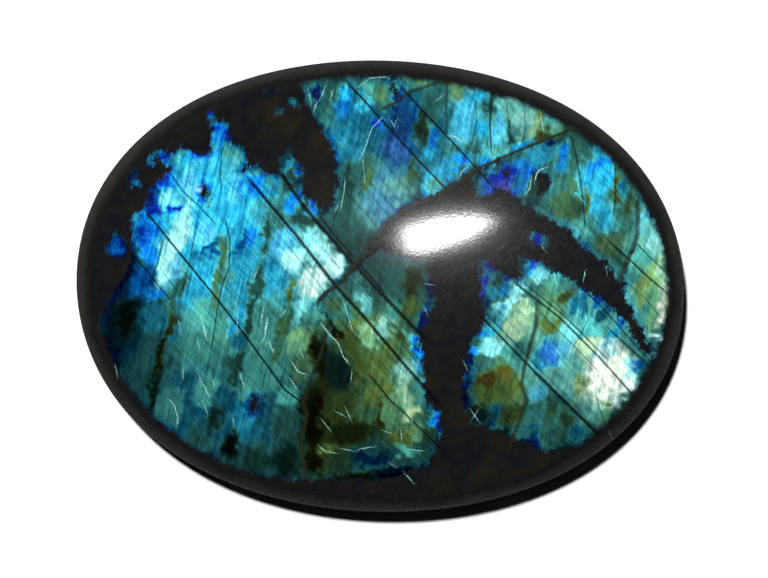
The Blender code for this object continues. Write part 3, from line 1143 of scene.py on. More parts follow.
def grain_group() -> bpy.types.NodeTree:
    """A shader node group: noise drawn out along one direction, as fibres and twin layers are.

    Returns:
        The group, with the place in millimetres, a turn, two lengths, a detail and a shift going
        in and one value coming out.
    """
    tree = bpy.data.node_groups.new("drawn grain", "ShaderNodeTree")
    face = tree.interface
    face.new_socket("Place", in_out="INPUT", socket_type="NodeSocketVector")
    for name in ("Turn", "Along", "Across", "Detail", "Shift"):
        face.new_socket(name, in_out="INPUT", socket_type="NodeSocketFloat")
    face.new_socket("Grain", in_out="OUTPUT", socket_type="NodeSocketFloat")
    nodes, links = tree.nodes, tree.links
    given = nodes.new("NodeGroupInput")
    turned = nodes.new("ShaderNodeVectorRotate")
    turned.rotation_type = "Z_AXIS"
    links.new(given.outputs["Place"], turned.inputs["Vector"])
    feed(tree, turned.inputs["Angle"], Wire(tree, given.outputs["Turn"]) * -1.0)
    parts = nodes.new("ShaderNodeSeparateXYZ")
    links.new(turned.outputs[0], parts.inputs[0])
    along, across, shift = (Wire(tree, given.outputs[name]) for name in ("Along", "Across", "Shift"))
    joined = nodes.new("ShaderNodeCombineXYZ")
    feed(tree, joined.inputs["X"], Wire(tree, parts.outputs["X"]) / along + shift)
    feed(tree, joined.inputs["Y"], Wire(tree, parts.outputs["Y"]) / across - shift)
    feed(tree, joined.inputs["Z"], Wire(tree, parts.outputs["Z"]) / along)
    noise = nodes.new("ShaderNodeTexNoise")
    noise.inputs["Scale"].default_value = 1.0
    noise.inputs["Roughness"].default_value = GRAIN_ROUGHNESS
    links.new(joined.outputs[0], noise.inputs["Vector"])
    links.new(given.outputs["Detail"], noise.inputs["Detail"])
    links.new(noise.outputs[0], nodes.new("NodeGroupOutput").inputs[0])
    return tree


class StonePaint:
    """The stone's material while it is built: its tree, and the grains and fields it reads."""

    def __init__(self, name: str) -> None:
        """Starts the material, with the place on the stone in millimetres."""
        self.material = bpy.data.materials.new(name)
        self.material.use_nodes = True
        self.tree = self.material.node_tree
        self.nodes, self.links = self.tree.nodes, self.tree.links
        self.shader = self.nodes["Principled BSDF"]
        self.grains = grain_group()
        self.place = self.nodes.new("ShaderNodeVectorMath")
        self.place.operation = "SCALE"
        self.place.inputs["Scale"].default_value = 1 / MM
        self.links.new(self.nodes.new("ShaderNodeTexCoord").outputs["Object"], self.place.inputs[0])

    def grain(self, size: GrainSize) -> Wire:
        """One use of the drawn grain.

        Args:
            size: Its turn, lengths, detail and shift.

        Returns:
            A noise value about 0.5.
        """
        node = self.nodes.new("ShaderNodeGroup")
        node.node_tree = self.grains
        self.links.new(self.place.outputs[0], node.inputs["Place"])
        for name in ("Turn", "Along", "Across", "Detail", "Shift"):
            node.inputs[name].default_value = getattr(size, name.lower())
        return Wire(self.tree, node.outputs[0])

    def field(self, name: str) -> Wire:
        """One of the fields that the mesh carries.

        Args:
            name: The field's name.

        Returns:
            Its value.
        """
        node = self.nodes.new("ShaderNodeAttribute")
        node.attribute_name = name
        return Wire(self.tree, node.outputs["Fac"])

    def mix(self, share: Wire | float, first: Wire | Colour, second: Wire | Colour) -> Wire:
        """Mixes two colours in this material."""
        return blend(self.tree, share, first, second)

    def dimmed(self, colour: Wire, share: Wire) -> Wire:
        """A colour times a value.

        Args:
            colour: The colour.
            share: The value.

        Returns:
            Their product.
        """
        node = self.nodes.new("ShaderNodeVectorMath")
        node.operation = "SCALE"
        feed(self.tree, node.inputs[0], colour)
        feed(self.tree, node.inputs["Scale"], share)
        return Wire(self.tree, node.outputs[0])


TWIN_TURN = math.radians(-48)
STEEP_TURN = math.radians(77)


@dataclass(frozen=True)
class LabradoriteFinish:
    """Polished labradorite: a dark body with a flash of colour under a clear polish.

    Lengths along the stone's edge are in photo pixels, as its fields are.
    """

    body_brown: Colour = linear(24, 21, 17)
    body_black: Colour = linear(7, 8, 14)
    body_cool: Colour = linear(22, 26, 30)
    body_warm: Colour = linear(40, 36, 24)
    # Lighter grey at the rim's outer edge: the stone's grey with a painted reflection of the floor
    rim_grey_and_reflection: Colour = linear(54, 52, 48)
    rim_inner: Colour = linear(24, 23, 23)
    boundary: Colour = linear(34, 36, 16)
    # White of the painted glints off small cracks
    crack_glint: Colour = linear(165, 225, 215)
    # White that the flash pales to, for milky patches and the painted highlight
    milk_and_highlight_white: Colour = (1.0, 1.0, 0.96, 1.0)

    twins: GrainSize = GrainSize(TWIN_TURN, 9.0, 0.42, 2.0, 3.1)
    hairs: GrainSize = GrainSize(TWIN_TURN, 4.0, 0.20, 1.0, 7.7)
    steep: GrainSize = GrainSize(STEEP_TURN, 4.5, 0.55, 3.0, 12.4)
    fine: GrainSize = GrainSize(STEEP_TURN, 1.6, 0.22, 2.0, 5.9)
    mottle: GrainSize = GrainSize(0.3, 1.3, 1.1, 3.0, 21.0)
    cloud: GrainSize = GrainSize(0.9, 6.0, 4.0, 2.0, 33.0)
    jag: GrainSize = GrainSize(0.5, 0.9, 0.7, 3.0, 40.0)
    speck: GrainSize = GrainSize(0.1, 0.30, 0.24, 1.0, 55.0)
    scratch: GrainSize = GrainSize(0.7, 3.0, 0.05, 1.0, 71.0)

    jag_reach: float = 15.0
    fine_reach: float = 9.0
    mottle_reach: float = 8.0
    hem_width: float = 9.0
    hem_hue: float = 0.22
    mottle_hue: float = 0.20
    steep_hue: float = 0.16
    steep_shade: float = 0.95
    twin_shade: float = 0.60
    fine_shade: float = 0.60
    mottle_shade: float = 0.50
    hair_span: Span = (0.60, 0.72)
    hair_dim: float = 0.80
    steep_span: Span = (0.62, 0.74)
    steep_dim: float = 0.72
    tone_power: float = 2.2
    gain: float = 0.86
    milk_and_highlight_level: float = 0.8
    milk_and_highlight_swing: float = 1.2

    mottle_span: Span = (0.35, 0.65)
    cloud_span: Span = (0.45, 0.7)
    tint_share: float = 0.45
    reflection_waver: float = 8.0
    reflection_span: Span = (1.0, 12.0)
    inner_waver: float = 3.0
    inner_span: Span = (12.0, 16.0)
    fade_waver: float = 9.0
    fade_span: Span = (13.5, 21.5)
    flash_span: Span = (-1.2, 2.4)
    speck_crumble: float = 0.9
    fine_crumble: float = 0.8
    line_span: Span = (1.7, 0.5)
    dark_cover: float = 0.92
    brown_cover: float = 0.90
    glint_span: Span = (1.0, 0.2)
    glint_gaps: Span = (0.35, 0.6)
    glint_level: float = 0.3
    glint_swing: float = 0.6

    roughness: float = 0.07
    scratch_span: Span = (0.60, 0.75)
    scratch_roughness: float = 0.10
    mottle_roughness: float = 0.04
    coat: float = 0.18
    speckle_span: Span = (0.5, 0.7)
    coat_speckle: float = 0.25
    coat_roughness: float = 0.30
    ior: float = 1.56
    bump_strength: float = 0.05
    bump_height: float = 0.05 * MM

    def edge(self, paint: StonePaint, grain: dict[str, Wire]) -> Wire:
        """Distance to the flash's edge, made ragged.

        Args:
            paint: The material being built.
            grain: The grains, by name.

        Returns:
            The distance in pixels, positive in the flash.
        """
        ragged = paint.field("edge") + grain["jag"].swing(self.jag_reach)
        return ragged + grain["fine"].swing(self.fine_reach) + grain["mottle"].swing(self.mottle_reach)

    def flash_colour(self, paint: StonePaint, grain: dict[str, Wire], edge: Wire) -> Wire:
        """The flash's colour, with its streaks, blue hem, milky patches and the painted highlight on the
        right shoulder.

        Args:
            paint: The material being built.
            grain: The grains, by name.
            edge: Distance to the flash's edge.

        Returns:
            The colour.
        """
        shade = 1.0 + grain["steep"].swing(self.steep_shade) + grain["twins"].swing(self.twin_shade)
        shade = shade + grain["fine"].swing(self.fine_shade) + grain["mottle"].swing(self.mottle_shade)
        shade = shade * grain["hairs"].step(*self.hair_span, 1.0, self.hair_dim)
        shade = shade * grain["steep"].step(*self.steep_span, 1.0, self.steep_dim)
        tone = (paint.field("tone") * shade).math("MAXIMUM", 0.0).math("POWER", self.tone_power)
        hem = (edge.step(0.0, self.hem_width) - 1.0) * self.hem_hue
        hue = paint.field("hue") + grain["mottle"].swing(self.mottle_hue)
        hue = hue + grain["steep"].swing(self.steep_hue) + hem
        ramp = paint.nodes.new("ShaderNodeValToRGB")
        stops = ramp.color_ramp.elements
        while len(stops) < len(SHEEN_COLOURS):
            stops.new(0.5)
        for stop, (sheen, colour) in zip(stops, SHEEN_COLOURS.items()):
            stop.position, stop.color = sheen.value, colour
        feed(paint.tree, ramp.inputs["Fac"], hue)
        # Paling to white: milky flash, and the painted highlight along the right shoulder
        pale = paint.field("milk_and_highlight") * (self.milk_and_highlight_level + grain["mottle"].swing(self.milk_and_highlight_swing))
        colour = paint.mix(pale.math("MINIMUM", 1.0), Wire(paint.tree, ramp.outputs["Color"]),
                           self.milk_and_highlight_white)
        return paint.dimmed(colour, tone * self.gain)

    def body_colour(self, paint: StonePaint, grain: dict[str, Wire], inner: Wire) -> Wire:
        """The colour where nothing flashes: a mottled dark body inside a grey rim, whose grey pales to its
        outer edge as a painted reflection.

        Args:
            paint: The material being built.
            grain: The grains, by name.
            inner: 0 on the rim and 1 inside it.

        Returns:
            The colour.
        """
        body = paint.mix(grain["mottle"].step(*self.mottle_span), self.body_black, self.body_brown)
        tint = paint.mix(grain["cloud"].step(*self.cloud_span), self.body_cool, self.body_warm)
        body = paint.mix(self.tint_share, body, tint)
        # The rim's dark grey pales to its outer edge, a painted reflection of the floor
        wavered = paint.field("rim") + grain["cloud"].swing(self.reflection_waver)
        rim_band_and_reflection = paint.mix(wavered.step(*self.reflection_span), self.rim_grey_and_reflection, self.rim_inner)
        return paint.mix(inner, rim_band_and_reflection, body)

    def with_seams(self, paint: StonePaint, grain: dict[str, Wire], colour: Wire, inner: Wire) -> Wire:
        """Draws the seams over a colour.

        Args:
            paint: The material being built.
            grain: The grains, by name.
            colour: The colour so far.
            inner: 0 on the rim and 1 inside it.

        Returns:
            The colour with its seams.
        """
        crumble = grain["speck"].swing(self.speck_crumble) + grain["fine"].swing(self.fine_crumble)
        top = paint.field("top")
        broken = grain["speck"].step(*self.glint_gaps) * self.glint_swing + self.glint_level
        for kind in SeamKind:
            for name in channel_names(kind):
                across = (paint.field(name) + crumble).math("ABSOLUTE")
                near = paint.field(name + "_near")
                # Bright seams are painted glints off small cracks
                if kind is SeamKind.BRIGHT:
                    line = across.step(*self.glint_span) * near * broken * top
                    colour = paint.mix(line, colour, self.crack_glint)
                    continue
                line = across.step(*self.line_span) * near * inner
                if kind is SeamKind.DARK:
                    colour = paint.mix(line * self.dark_cover, colour, self.body_black)
                else:
                    colour = paint.mix(line * self.brown_cover, colour, self.boundary)
        return colour

    def polish(self, paint: StonePaint, grain: dict[str, Wire]) -> None:
        """Sets the gloss: a clear polish with faint scratches and a soft haze over it.

        Args:
            paint: The material being built.
            grain: The grains, by name.
        """
        shader = paint.shader
        scratch = grain["scratch"].step(*self.scratch_span) * self.scratch_roughness
        roughness = self.roughness + scratch + grain["mottle"] * self.mottle_roughness
        feed(paint.tree, shader.inputs["Roughness"], roughness)
        speckle = grain["speck"].step(*self.speckle_span) * self.coat_speckle
        feed(paint.tree, shader.inputs["Coat Weight"], self.coat + speckle)
        shader.inputs["Coat Roughness"].default_value = self.coat_roughness
        shader.inputs["IOR"].default_value = self.ior
        bump = paint.nodes.new("ShaderNodeBump")
        bump.inputs["Strength"].default_value = self.bump_strength
        bump.inputs["Distance"].default_value = self.bump_height
        feed(paint.tree, bump.inputs["Height"], grain["speck"])
        paint.links.new(bump.outputs[0], shader.inputs["Normal"])

    def material(self) -> bpy.types.Material:
        """Builds the material.

        Returns:
            The stone's one material.
        """
        paint = StonePaint("polished labradorite")
        names = ("twins", "hairs", "steep", "fine", "mottle", "cloud", "jag", "speck", "scratch")
        grain = {name: paint.grain(getattr(self, name)) for name in names}
        rim = paint.field("rim")
        inner = (rim + grain["mottle"].swing(self.inner_waver)).step(*self.inner_span)
        # The flash, the stone's own schiller, is painted into the colour as a fixed sheen and painted out
        # over the steep rim
        faded = (rim + grain["mottle"].swing(self.fade_waver)).step(*self.fade_span)
        edge = self.edge(paint, grain)
        seen = edge.step(*self.flash_span) * faded * paint.field("top")
        flash = self.flash_colour(paint, grain, edge)
        colour = paint.mix(seen, self.body_colour(paint, grain, inner), flash)
        feed(paint.tree, paint.shader.inputs["Base Color"],
             self.with_seams(paint, grain, colour, inner))
        self.polish(paint, grain)
        return paint.material


class SurfaceTree:
    """The node tree that lays a grid of spokes and rings on the stone's surface."""

    inputs = (("Spokes", "Int"), ("Ring Count", "Int"), ("Half Length", "Float"),
              ("Half Width", "Float"), ("Lean", "Float"), ("Squareness", "Float"),
              ("Girdle Height", "Float"), ("Crown Rise", "Float"), ("Edge Rise", "Float"),
              ("Lower Edge Rise", "Float"), ("Heel Rise", "Float"), ("Rest Share", "Float"),
              ("Finish", "Material"))
    merge_distance = 1e-6

    def __init__(self) -> None:
        """Starts the tree with its named inputs."""
        self.tree = bpy.data.node_groups.new("stone surface", "GeometryNodeTree")
        face = self.tree.interface
        face.new_socket("Rings", in_out="INPUT", socket_type="NodeSocketGeometry")
        for name, kind in self.inputs:
            face.new_socket(name, in_out="INPUT", socket_type="NodeSocket" + kind)
        face.new_socket("Stone", in_out="OUTPUT", socket_type="NodeSocketGeometry")
        self.nodes, self.links = self.tree.nodes, self.tree.links
        self.given = self.nodes.new("NodeGroupInput")
        self.size = {
            socket.name: Wire(self.tree, socket) for socket in self.given.outputs if socket.name
        }

    def split(self, vector: bpy.types.NodeSocket) -> tuple[Wire, Wire, Wire]:
        """The x, y and z of a vector socket."""
        parts = self.nodes.new("ShaderNodeSeparateXYZ")
        self.links.new(vector, parts.inputs[0])
        return tuple(Wire(self.tree, output) for output in parts.outputs)

    def position(self) -> bpy.types.NodeSocket:
        """The position of each point."""
        return self.nodes.new("GeometryNodeInputPosition").outputs[0]

    def of_ring(self, kind: str, value: bpy.types.NodeSocket, ring: Wire) -> bpy.types.NodeSocket:
        """A value of the ring table, read at each point's ring.

        Args:
            kind: The value's data type.
            value: The value on the ring table.
            ring: The ring's number.

        Returns:
            The value on the grid.
        """
        row = self.nodes.new("GeometryNodeSampleIndex")
        row.data_type = kind
        self.links.new(self.given.outputs["Rings"], row.inputs["Geometry"])
        self.links.new(value, row.inputs["Value"])
        feed(self.tree, row.inputs["Index"], ring)
        return row.outputs[0]

    def plan(self, turn: Wire, share: Wire, inset: Wire) -> tuple[Wire, Wire]:
        """Where each point lies in plan.

        Args:
            turn: Its turn round the oval.
            share: Its share of the outline.
            inset: How far it lies inside that, square to the outline.

        Returns:
            Its x and y.
        """
        size = self.size
        sine, cosine = turn.math("SINE"), turn.math("COSINE")
        swell = 1.0 - size["Lean"] * (turn * 2.0).math("SINE")
        swell = swell - size["Squareness"] * (turn * 4.0).math("COSINE")
        growth = size["Squareness"] * (turn * 4.0).math("SINE") * 4.0
        growth = growth - size["Lean"] * (turn * 2.0).math("COSINE") * 2.0
        run_x = size["Half Length"] * (growth * cosine - swell * sine)
        run_y = size["Half Width"] * (growth * sine + swell * cosine)
        run = (run_x * run_x + run_y * run_y).math("SQRT")
        x = share * size["Half Length"] * swell * cosine - inset * run_y / run
        y = share * size["Half Width"] * swell * sine + inset * run_x / run
        return x, y

    def height(self, x: Wire, y: Wire, rise: Wire, below: Wire) -> Wire:
        """How high each point lies.

        Args:
            x: Its x.
            y: Its y.
            rise: Its share of the rounded edge's rise.
            below: 1 below the widest line and 0 above it.

        Returns:
            Its z.
        """
        size = self.size
        out_x, out_y = x / size["Half Length"], y / size["Half Width"]
        oval = out_x * out_x + out_y * out_y
        crown = size["Girdle Height"] + size["Edge Rise"] * rise + size["Crown Rise"] * (1.0 - oval)
        past = (oval.math("SQRT") - size["Rest Share"]).math("MAXIMUM", 0.0)
        past = past / (1.0 - size["Rest Share"])
        heel = size["Lower Edge Rise"] * (1.0 - rise) + size["Heel Rise"] * past * past
        return crown + (heel - crown) * below

    def build(self) -> bpy.types.NodeTree:
        """Builds the tree, from the flat grid to the dressed surface.

        Returns:
            The tree.
        """
        nodes, links = self.nodes, self.links
        grid = nodes.new("GeometryNodeMeshGrid")
        feed(self.tree, grid.inputs["Size X"], 1.0)
        feed(self.tree, grid.inputs["Size Y"], 1.0)
        feed(self.tree, grid.inputs["Vertices X"], self.size["Spokes"] + 1.0)
        feed(self.tree, grid.inputs["Vertices Y"], self.size["Ring Count"])
        grid_x, grid_y, _ = self.split(self.position())
        turn = (grid_x + 0.5) * (2 * math.pi)
        ring = ((grid_y + 0.5) * (self.size["Ring Count"] - 1.0)).math("ROUND")
        share, inset, rise = self.split(self.of_ring("FLOAT_VECTOR", self.position(), ring))
        named = nodes.new("GeometryNodeInputNamedAttribute")
        named.data_type = "FLOAT"
        named.inputs["Name"].default_value = "below"
        below = Wire(self.tree, self.of_ring("FLOAT", named.outputs[0], ring))
        x, y = self.plan(turn, share, inset)
        joined = nodes.new("ShaderNodeCombineXYZ")
        for name, value in (("X", x), ("Y", y), ("Z", self.height(x, y, rise, below))):
            feed(self.tree, joined.inputs[name], value)
        moved = nodes.new("GeometryNodeSetPosition")
        links.new(grid.outputs["Mesh"], moved.inputs["Geometry"])
        links.new(joined.outputs[0], moved.inputs["Position"])
        merged = nodes.new("GeometryNodeMergeByDistance")
        merged.inputs["Distance"].default_value = self.merge_distance
        links.new(moved.outputs[0], merged.inputs["Geometry"])
        smooth = nodes.new("GeometryNodeSetShadeSmooth")
        links.new(merged.outputs["Geometry"], smooth.inputs["Geometry"])
        real = nodes.new("GeometryNodeRealizeInstances")
        links.new(smooth.outputs[0], real.inputs[0])
        dressed = nodes.new("GeometryNodeSetMaterial")
        links.new(real.outputs[0], dressed.inputs["Geometry"])
        links.new(self.given.outputs["Finish"], dressed.inputs["Material"])
        links.new(dressed.outputs[0], nodes.new("NodeGroupOutput").inputs[0])
        return self.tree


@dataclass(frozen=True)
class PalmStone:
    """The stone: one solid of polished labradorite, and how finely its surface is drawn."""

    sizes: StoneSizes = SIZES
    finish: LabradoriteFinish = LabradoriteFinish()
    pattern: Pattern = Pattern()
    spokes: int = 640
    crown_rings: int = 112
    edge_rings: int = 10
    lower_edge_rings: int = 8
    heel_rings: int = 6
    rest_rings: int = 12
    top_fade: float = 0.6 * MM
    map_spread: float = 20.0
    crown_map_half: float = 0.48
    crown_map_middle: Place = (0.5, 0.37)
    heel_map_half: float = 0.19
    heel_map_middle: Place = (0.2, 0.87)

    def arc(self, step: float) -> tuple[float, float]:
        """Inset and rise of the rounded edge, as shares of its reach and rise.

        Args:
            step: 0 at the widest line and 1 at the arc's inner end.

        Returns:
            The inset and the rise.
        """
        angle = step * math.pi / 2
        power = 2 / self.sizes.edge_power
        return 1 - max(math.cos(angle), 0.0) ** power, math.sin(angle) ** power

    def ring_table(self) -> list[tuple[float, float, float, float]]:
        """The rings from the crown's middle to the middle of the rest face.

        Returns:
            For each ring the share of the outline, the inset, the rise and whether it is below.
        """
        reach, heel, rest = self.sizes.edge_reach, self.sizes.heel_reach, self.sizes.rest_share
        rings = []
        for i in range(self.crown_rings + 1):
            share = i / self.crown_rings
            rings.append((share, reach * share, 1.0, 0.0))
        for i in range(1, self.edge_rings + 1):
            inset, rise = self.arc(1 - i / self.edge_rings)
            rings.append((1.0, inset * reach, rise, 0.0))
        for i in range(1, self.lower_edge_rings + 1):
            inset, rise = self.arc(i / self.lower_edge_rings)
            rings.append((1.0, inset * heel, rise, 1.0))
        for i in range(1, self.heel_rings + 1):
            share = 1 - i / self.heel_rings
            rings.append((share + rest * (1 - share), heel * share, 1.0, 1.0))
        for i in range(self.rest_rings + 1):
            rings.append((rest * self.sizes.rest_rim * (1 - i / self.rest_rings), 0.0, 1.0, 1.0))
        return rings

    def ring_mesh(self) -> bpy.types.Mesh:
        """The ring table as loose points.

        Returns:
            The mesh: x is the share, y the inset and z the rise.
        """
        rings = self.ring_table()
        mesh = bpy.data.meshes.new("stone_rings")
        mesh.from_pydata([ring[:3] for ring in rings], [], [])
        below = mesh.attributes.new("below", "FLOAT", "POINT")
        below.data.foreach_set("value", [ring[3] for ring in rings])
        return mesh

    def inputs(self) -> dict[str, float | bpy.types.Material]:
        """The values of the surface tree's inputs, by name.

        Returns:
            The stone's sizes and its material.
        """
        return {
            "Spokes": self.spokes,
            "Ring Count": len(self.ring_table()),
            "Half Length": self.sizes.half_length,
            "Half Width": self.sizes.half_width,
            "Lean": self.sizes.lean,
            "Squareness": self.sizes.squareness,
            "Girdle Height": self.sizes.girdle_height,
            "Crown Rise": self.sizes.crown_rise,
            "Edge Rise": self.sizes.edge_rise,
            "Lower Edge Rise": self.sizes.lower_edge_rise,
            "Heel Rise": self.sizes.heel_rise,
            "Rest Share": self.sizes.rest_share,
            "Finish": self.finish.material(),
        }

    def surface(self) -> bpy.types.Mesh:
        """Runs the node tree and keeps its result as a plain mesh.

        Returns:
            The closed mesh, with its faces outwards.
        """
        maker = bpy.data.objects.new("stone_maker", self.ring_mesh())
        bpy.context.scene.collection.objects.link(maker)
        tree = SurfaceTree().build()
        modifier = maker.modifiers.new("surface", "NODES")
        modifier.node_group = tree
        values = self.inputs()
        for item in tree.interface.items_tree:
            if item.in_out == "INPUT" and item.name in values:
                modifier[item.identifier] = values[item.name]
        bpy.context.view_layer.update()
        evaluated = maker.evaluated_get(bpy.context.evaluated_depsgraph_get())
        mesh = bpy.data.meshes.new_from_object(evaluated)
        maker.modifiers.clear()
        bpy.data.objects.remove(maker)
        # The rings run from the crown down, so the grid's faces point inwards
        mesh.flip_normals()
        return mesh

    def rim_distance(self, pixels: np.ndarray) -> np.ndarray:
        """How far points lie inside the outline, square to it.

        Args:
            pixels: Rows of x and y in pixels.

        Returns:
            The distance in pixels.
        """
        sizes = self.sizes
        centre = pixels - np.array([VIEW.stone_x, VIEW.stone_y])
        turn = np.arctan2(-centre[:, 1] / sizes.half_width, centre[:, 0] / sizes.half_length)
        swell = 1 - sizes.lean * np.sin(2 * turn) - sizes.squareness * np.cos(4 * turn)
        outline_x = sizes.half_length * swell * np.cos(turn)
        outline_y = sizes.half_width * swell * np.sin(turn)
        reach = np.hypot(outline_x, outline_y)
        slope = np.hypot(np.cos(turn) / sizes.half_length, np.sin(turn) / sizes.half_width)
        return (reach / VIEW.pixel - np.hypot(centre[:, 0], centre[:, 1])) / (slope * reach)

    def dress(self, mesh: bpy.types.Mesh) -> None:
        """Lays the pattern's fields and the bake map on the mesh.

        Args:
            mesh: The stone's mesh.
        """
        points = np.empty(len(mesh.vertices) * 3, np.float32)
        mesh.vertices.foreach_get("co", points)
        points = points.reshape(-1, 3).astype(float)
        pixels = VIEW.to_pixels(points)
        girdle = self.sizes.girdle_height
        fields = {
            "edge": self.pattern.edge(pixels),
            **self.pattern.glow(pixels),
            **self.pattern.seams(pixels),
            "rim": self.rim_distance(pixels),
            "top": smooth_step(points[:, 2], girdle, girdle + self.top_fade),
        }
        for name, values in fields.items():
            layer = mesh.attributes.new(name, "FLOAT", "POINT")
            layer.data.foreach_set("value", values.astype(np.float32))
        self.lay_bake_map(mesh, points)

    def lay_bake_map(self, mesh: bpy.types.Mesh, points: np.ndarray) -> None:
        """Lays out two islands without overlaps, the crown side large and the underside small.

        Args:
            mesh: The stone's mesh.
            points: Its points, rows of x, y and z.
        """
        corners = np.empty(len(mesh.loops), np.int32)
        mesh.loops.foreach_get("vertex_index", corners)
        facing = np.empty(len(mesh.polygons) * 3, np.float32)
        mesh.polygons.foreach_get("normal", facing)
        counts = np.empty(len(mesh.polygons), np.int32)
        mesh.polygons.foreach_get("loop_total", counts)
        upper = np.repeat(facing.reshape(-1, 3)[:, 2] > 0, counts)
        height = points[corners, 2]
        past = np.where(upper, self.sizes.thickness - height, height)
        flat = points[corners, :2] * (1 + self.map_spread * past)[:, None]
        drop = self.sizes.thickness - self.sizes.girdle_height
        half = self.sizes.length / 2 * (1 + self.map_spread * drop)
        crown = np.array(self.crown_map_middle) + flat * self.crown_map_half / half
        heel = np.array(self.heel_map_middle) + flat * self.heel_map_half / half
        place = np.where(upper[:, None], crown, heel)
        layer = mesh.uv_layers.new(name="OFBake")
        layer.data.foreach_set("uv", place.astype(np.float32).ravel())

    def build(self) -> bpy.types.Object:
        """Makes the stone and gives it to the frame.

        Returns:
            The stone's object.
        """
        mesh = self.surface()
        self.dress(mesh)
        mesh.name = "polished_stone"
        stone = bpy.data.objects.new("polished_stone", mesh)
        bpy.context.scene.collection.objects.link(stone)
        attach(stone, "root")
        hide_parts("stone")
        return stone


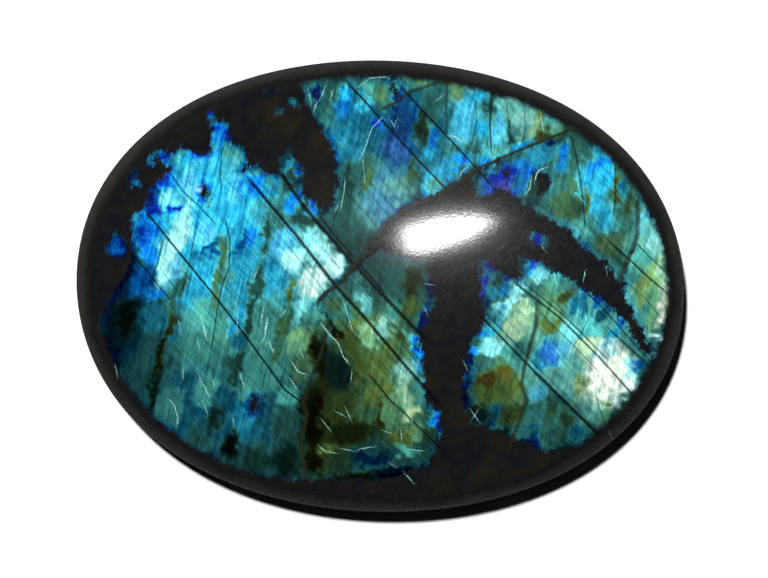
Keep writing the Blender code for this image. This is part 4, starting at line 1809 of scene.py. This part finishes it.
@dataclass(frozen=True)
class Studio:
    """The pale floor, the soft lamps, the pale room and the camera."""

    floor_size: float = 3.0
    floor_colour: Colour = (0.90, 0.90, 0.90, 1.0)
    floor_roughness: float = 0.9
    floor_gloss: float = 0.1
    key_tilt: float = math.radians(14.2)
    key_turn: float = math.radians(117.0)
    key_strength: float = 4.4
    key_spread: float = math.radians(3.5)
    card_height: float = 0.40
    card_glow: float = 42.0
    shine_height: float = 14.5 * MM
    shine: Path = ((403, 229), (407, 253), (424, 252), (442, 247), (468, 238), (494, 221),
                   (470, 217), (440, 219))
    room_above: float = 0.03
    room_aside: float = 0.10
    room_below: float = 0.9
    room_dim: float = 0.035
    room_seen: float = 0.85
    above_span: Span = (0.85, 0.0)
    below_span: Span = (-0.60, -0.98)
    upwards: float = 0.82
    leftwards: float = 0.57
    left_gain: float = 5.0

    def floor(self) -> None:
        """Lays a pale floor under the stone, which the polish doesn't mirror."""
        bpy.ops.mesh.primitive_plane_add(size=self.floor_size)
        floor = bpy.context.object
        floor.name = "pale_floor"
        material = bpy.data.materials.new("pale floor")
        material.use_nodes = True
        shader = material.node_tree.nodes["Principled BSDF"]
        shader.inputs["Base Color"].default_value = self.floor_colour
        shader.inputs["Roughness"].default_value = self.floor_roughness
        shader.inputs["Specular IOR Level"].default_value = self.floor_gloss
        floor.data.materials.append(material)
        floor.visible_glossy = False

    def key_lamp(self) -> None:
        """Hangs the main lamp, high and to the upper left, which casts the crescent of shadow."""
        light = bpy.data.lights.new("key", "SUN")
        light.energy, light.angle = self.key_strength, self.key_spread
        lamp = bpy.data.objects.new("key", light)
        lamp.rotation_euler = (0.0, self.key_tilt, self.key_turn)
        lamp.visible_glossy = False
        bpy.context.scene.collection.objects.link(lamp)

    def mirrored(self, place: Place) -> tuple[float, float, float]:
        """Where the camera's ray to a photo pixel meets the card's height after the crown.

        Args:
            place: The photo pixel.

        Returns:
            The place at the card's height.
        """
        x, y = VIEW.to_stone(place)
        lean_x = 2 * SIZES.crown_rise * x / SIZES.half_length**2
        lean_y = 2 * SIZES.crown_rise * y / SIZES.half_width**2
        normal = np.array([lean_x, lean_y, 1.0])
        normal /= np.linalg.norm(normal)
        spot = np.array([x, y, self.shine_height])
        to_eye = np.array(VIEW.camera_place) - spot
        to_eye /= np.linalg.norm(to_eye)
        onwards = 2 * normal.dot(to_eye) * normal - to_eye
        return tuple(spot + onwards * (self.card_height - spot[2]) / onwards[2])

    def shine_card(self) -> None:
        """Hangs the card whose reflection is the bright patch on the crown."""
        mesh = bpy.data.meshes.new("shine_card")
        corners = [self.mirrored(place) for place in self.shine]
        mesh.from_pydata(corners, [], [tuple(range(len(corners)))])
        card = bpy.data.objects.new("shine_card", mesh)
        bpy.context.scene.collection.objects.link(card)
        material = bpy.data.materials.new("shine card")
        material.use_nodes = True
        tree = material.node_tree
        tree.nodes.clear()
        glow = tree.nodes.new("ShaderNodeEmission")
        glow.inputs["Strength"].default_value = self.card_glow
        output = tree.nodes.new("ShaderNodeOutputMaterial")
        tree.links.new(glow.outputs[0], output.inputs["Surface"])
        mesh.materials.append(material)
        card.visible_camera = False
        card.visible_diffuse = False
        card.visible_shadow = False
        card.visible_transmission = False

    def room(self) -> None:
        """Sets a pale room: bright to the camera, dim overhead and paler low down in the polish."""
        world = bpy.data.worlds.new("room")
        bpy.context.scene.world = world
        world.use_nodes = True
        tree = world.node_tree
        nodes, links = tree.nodes, tree.links
        ray = nodes.new("ShaderNodeLightPath")
        heading = nodes.new("ShaderNodeSeparateXYZ")
        links.new(nodes.new("ShaderNodeTexCoord").outputs["Generated"], heading.inputs[0])
        across, along, height = (Wire(tree, heading.outputs[name]) for name in ("X", "Y", "Z"))
        upper_left = (along * self.upwards - across * self.leftwards).step(0.0, 1.0, 1.0, self.left_gain)
        glossy = height.step(*self.above_span, self.room_above, self.room_aside) * upper_left
        glossy = glossy + height.step(*self.below_span, 0.0, self.room_below)
        seen = Wire(tree, ray.outputs["Is Camera Ray"])
        mirrored = Wire(tree, ray.outputs["Is Glossy Ray"])
        strength = mirrored * glossy + (1.0 - mirrored) * self.room_dim
        feed(tree, nodes["Background"].inputs["Strength"], strength + seen * self.room_seen)

    def camera(self) -> None:
        """Hangs the camera straight above the stone, as in the photograph."""
        data = bpy.data.cameras.new("camera")
        data.sensor_width = VIEW.sensor_width
        data.lens = VIEW.focal_pixels / VIEW.image_width * VIEW.sensor_width
        camera = bpy.data.objects.new("camera", data)
        camera.location = VIEW.camera_place
        bpy.context.scene.collection.objects.link(camera)
        bpy.context.scene.camera = camera

    def build(self) -> None:
        """Makes the floor, the lamps, the room and the camera."""
        self.floor()
        self.key_lamp()
        self.shine_card()
        self.room()
        self.camera()
        bpy.context.scene.view_settings.view_transform = "Standard"


def main() -> None:
    """Builds the stone and the studio, in order."""
    logging.basicConfig(level=logging.INFO, format="%(name)s: %(message)s")
    stone = PalmStone().build()
    LOG.info("%s: %d faces", stone.name, len(stone.data.polygons))
    Studio().build()
    LOG.info("studio: floor, lamps, room and camera")


if __name__ == "__main__":
    main()
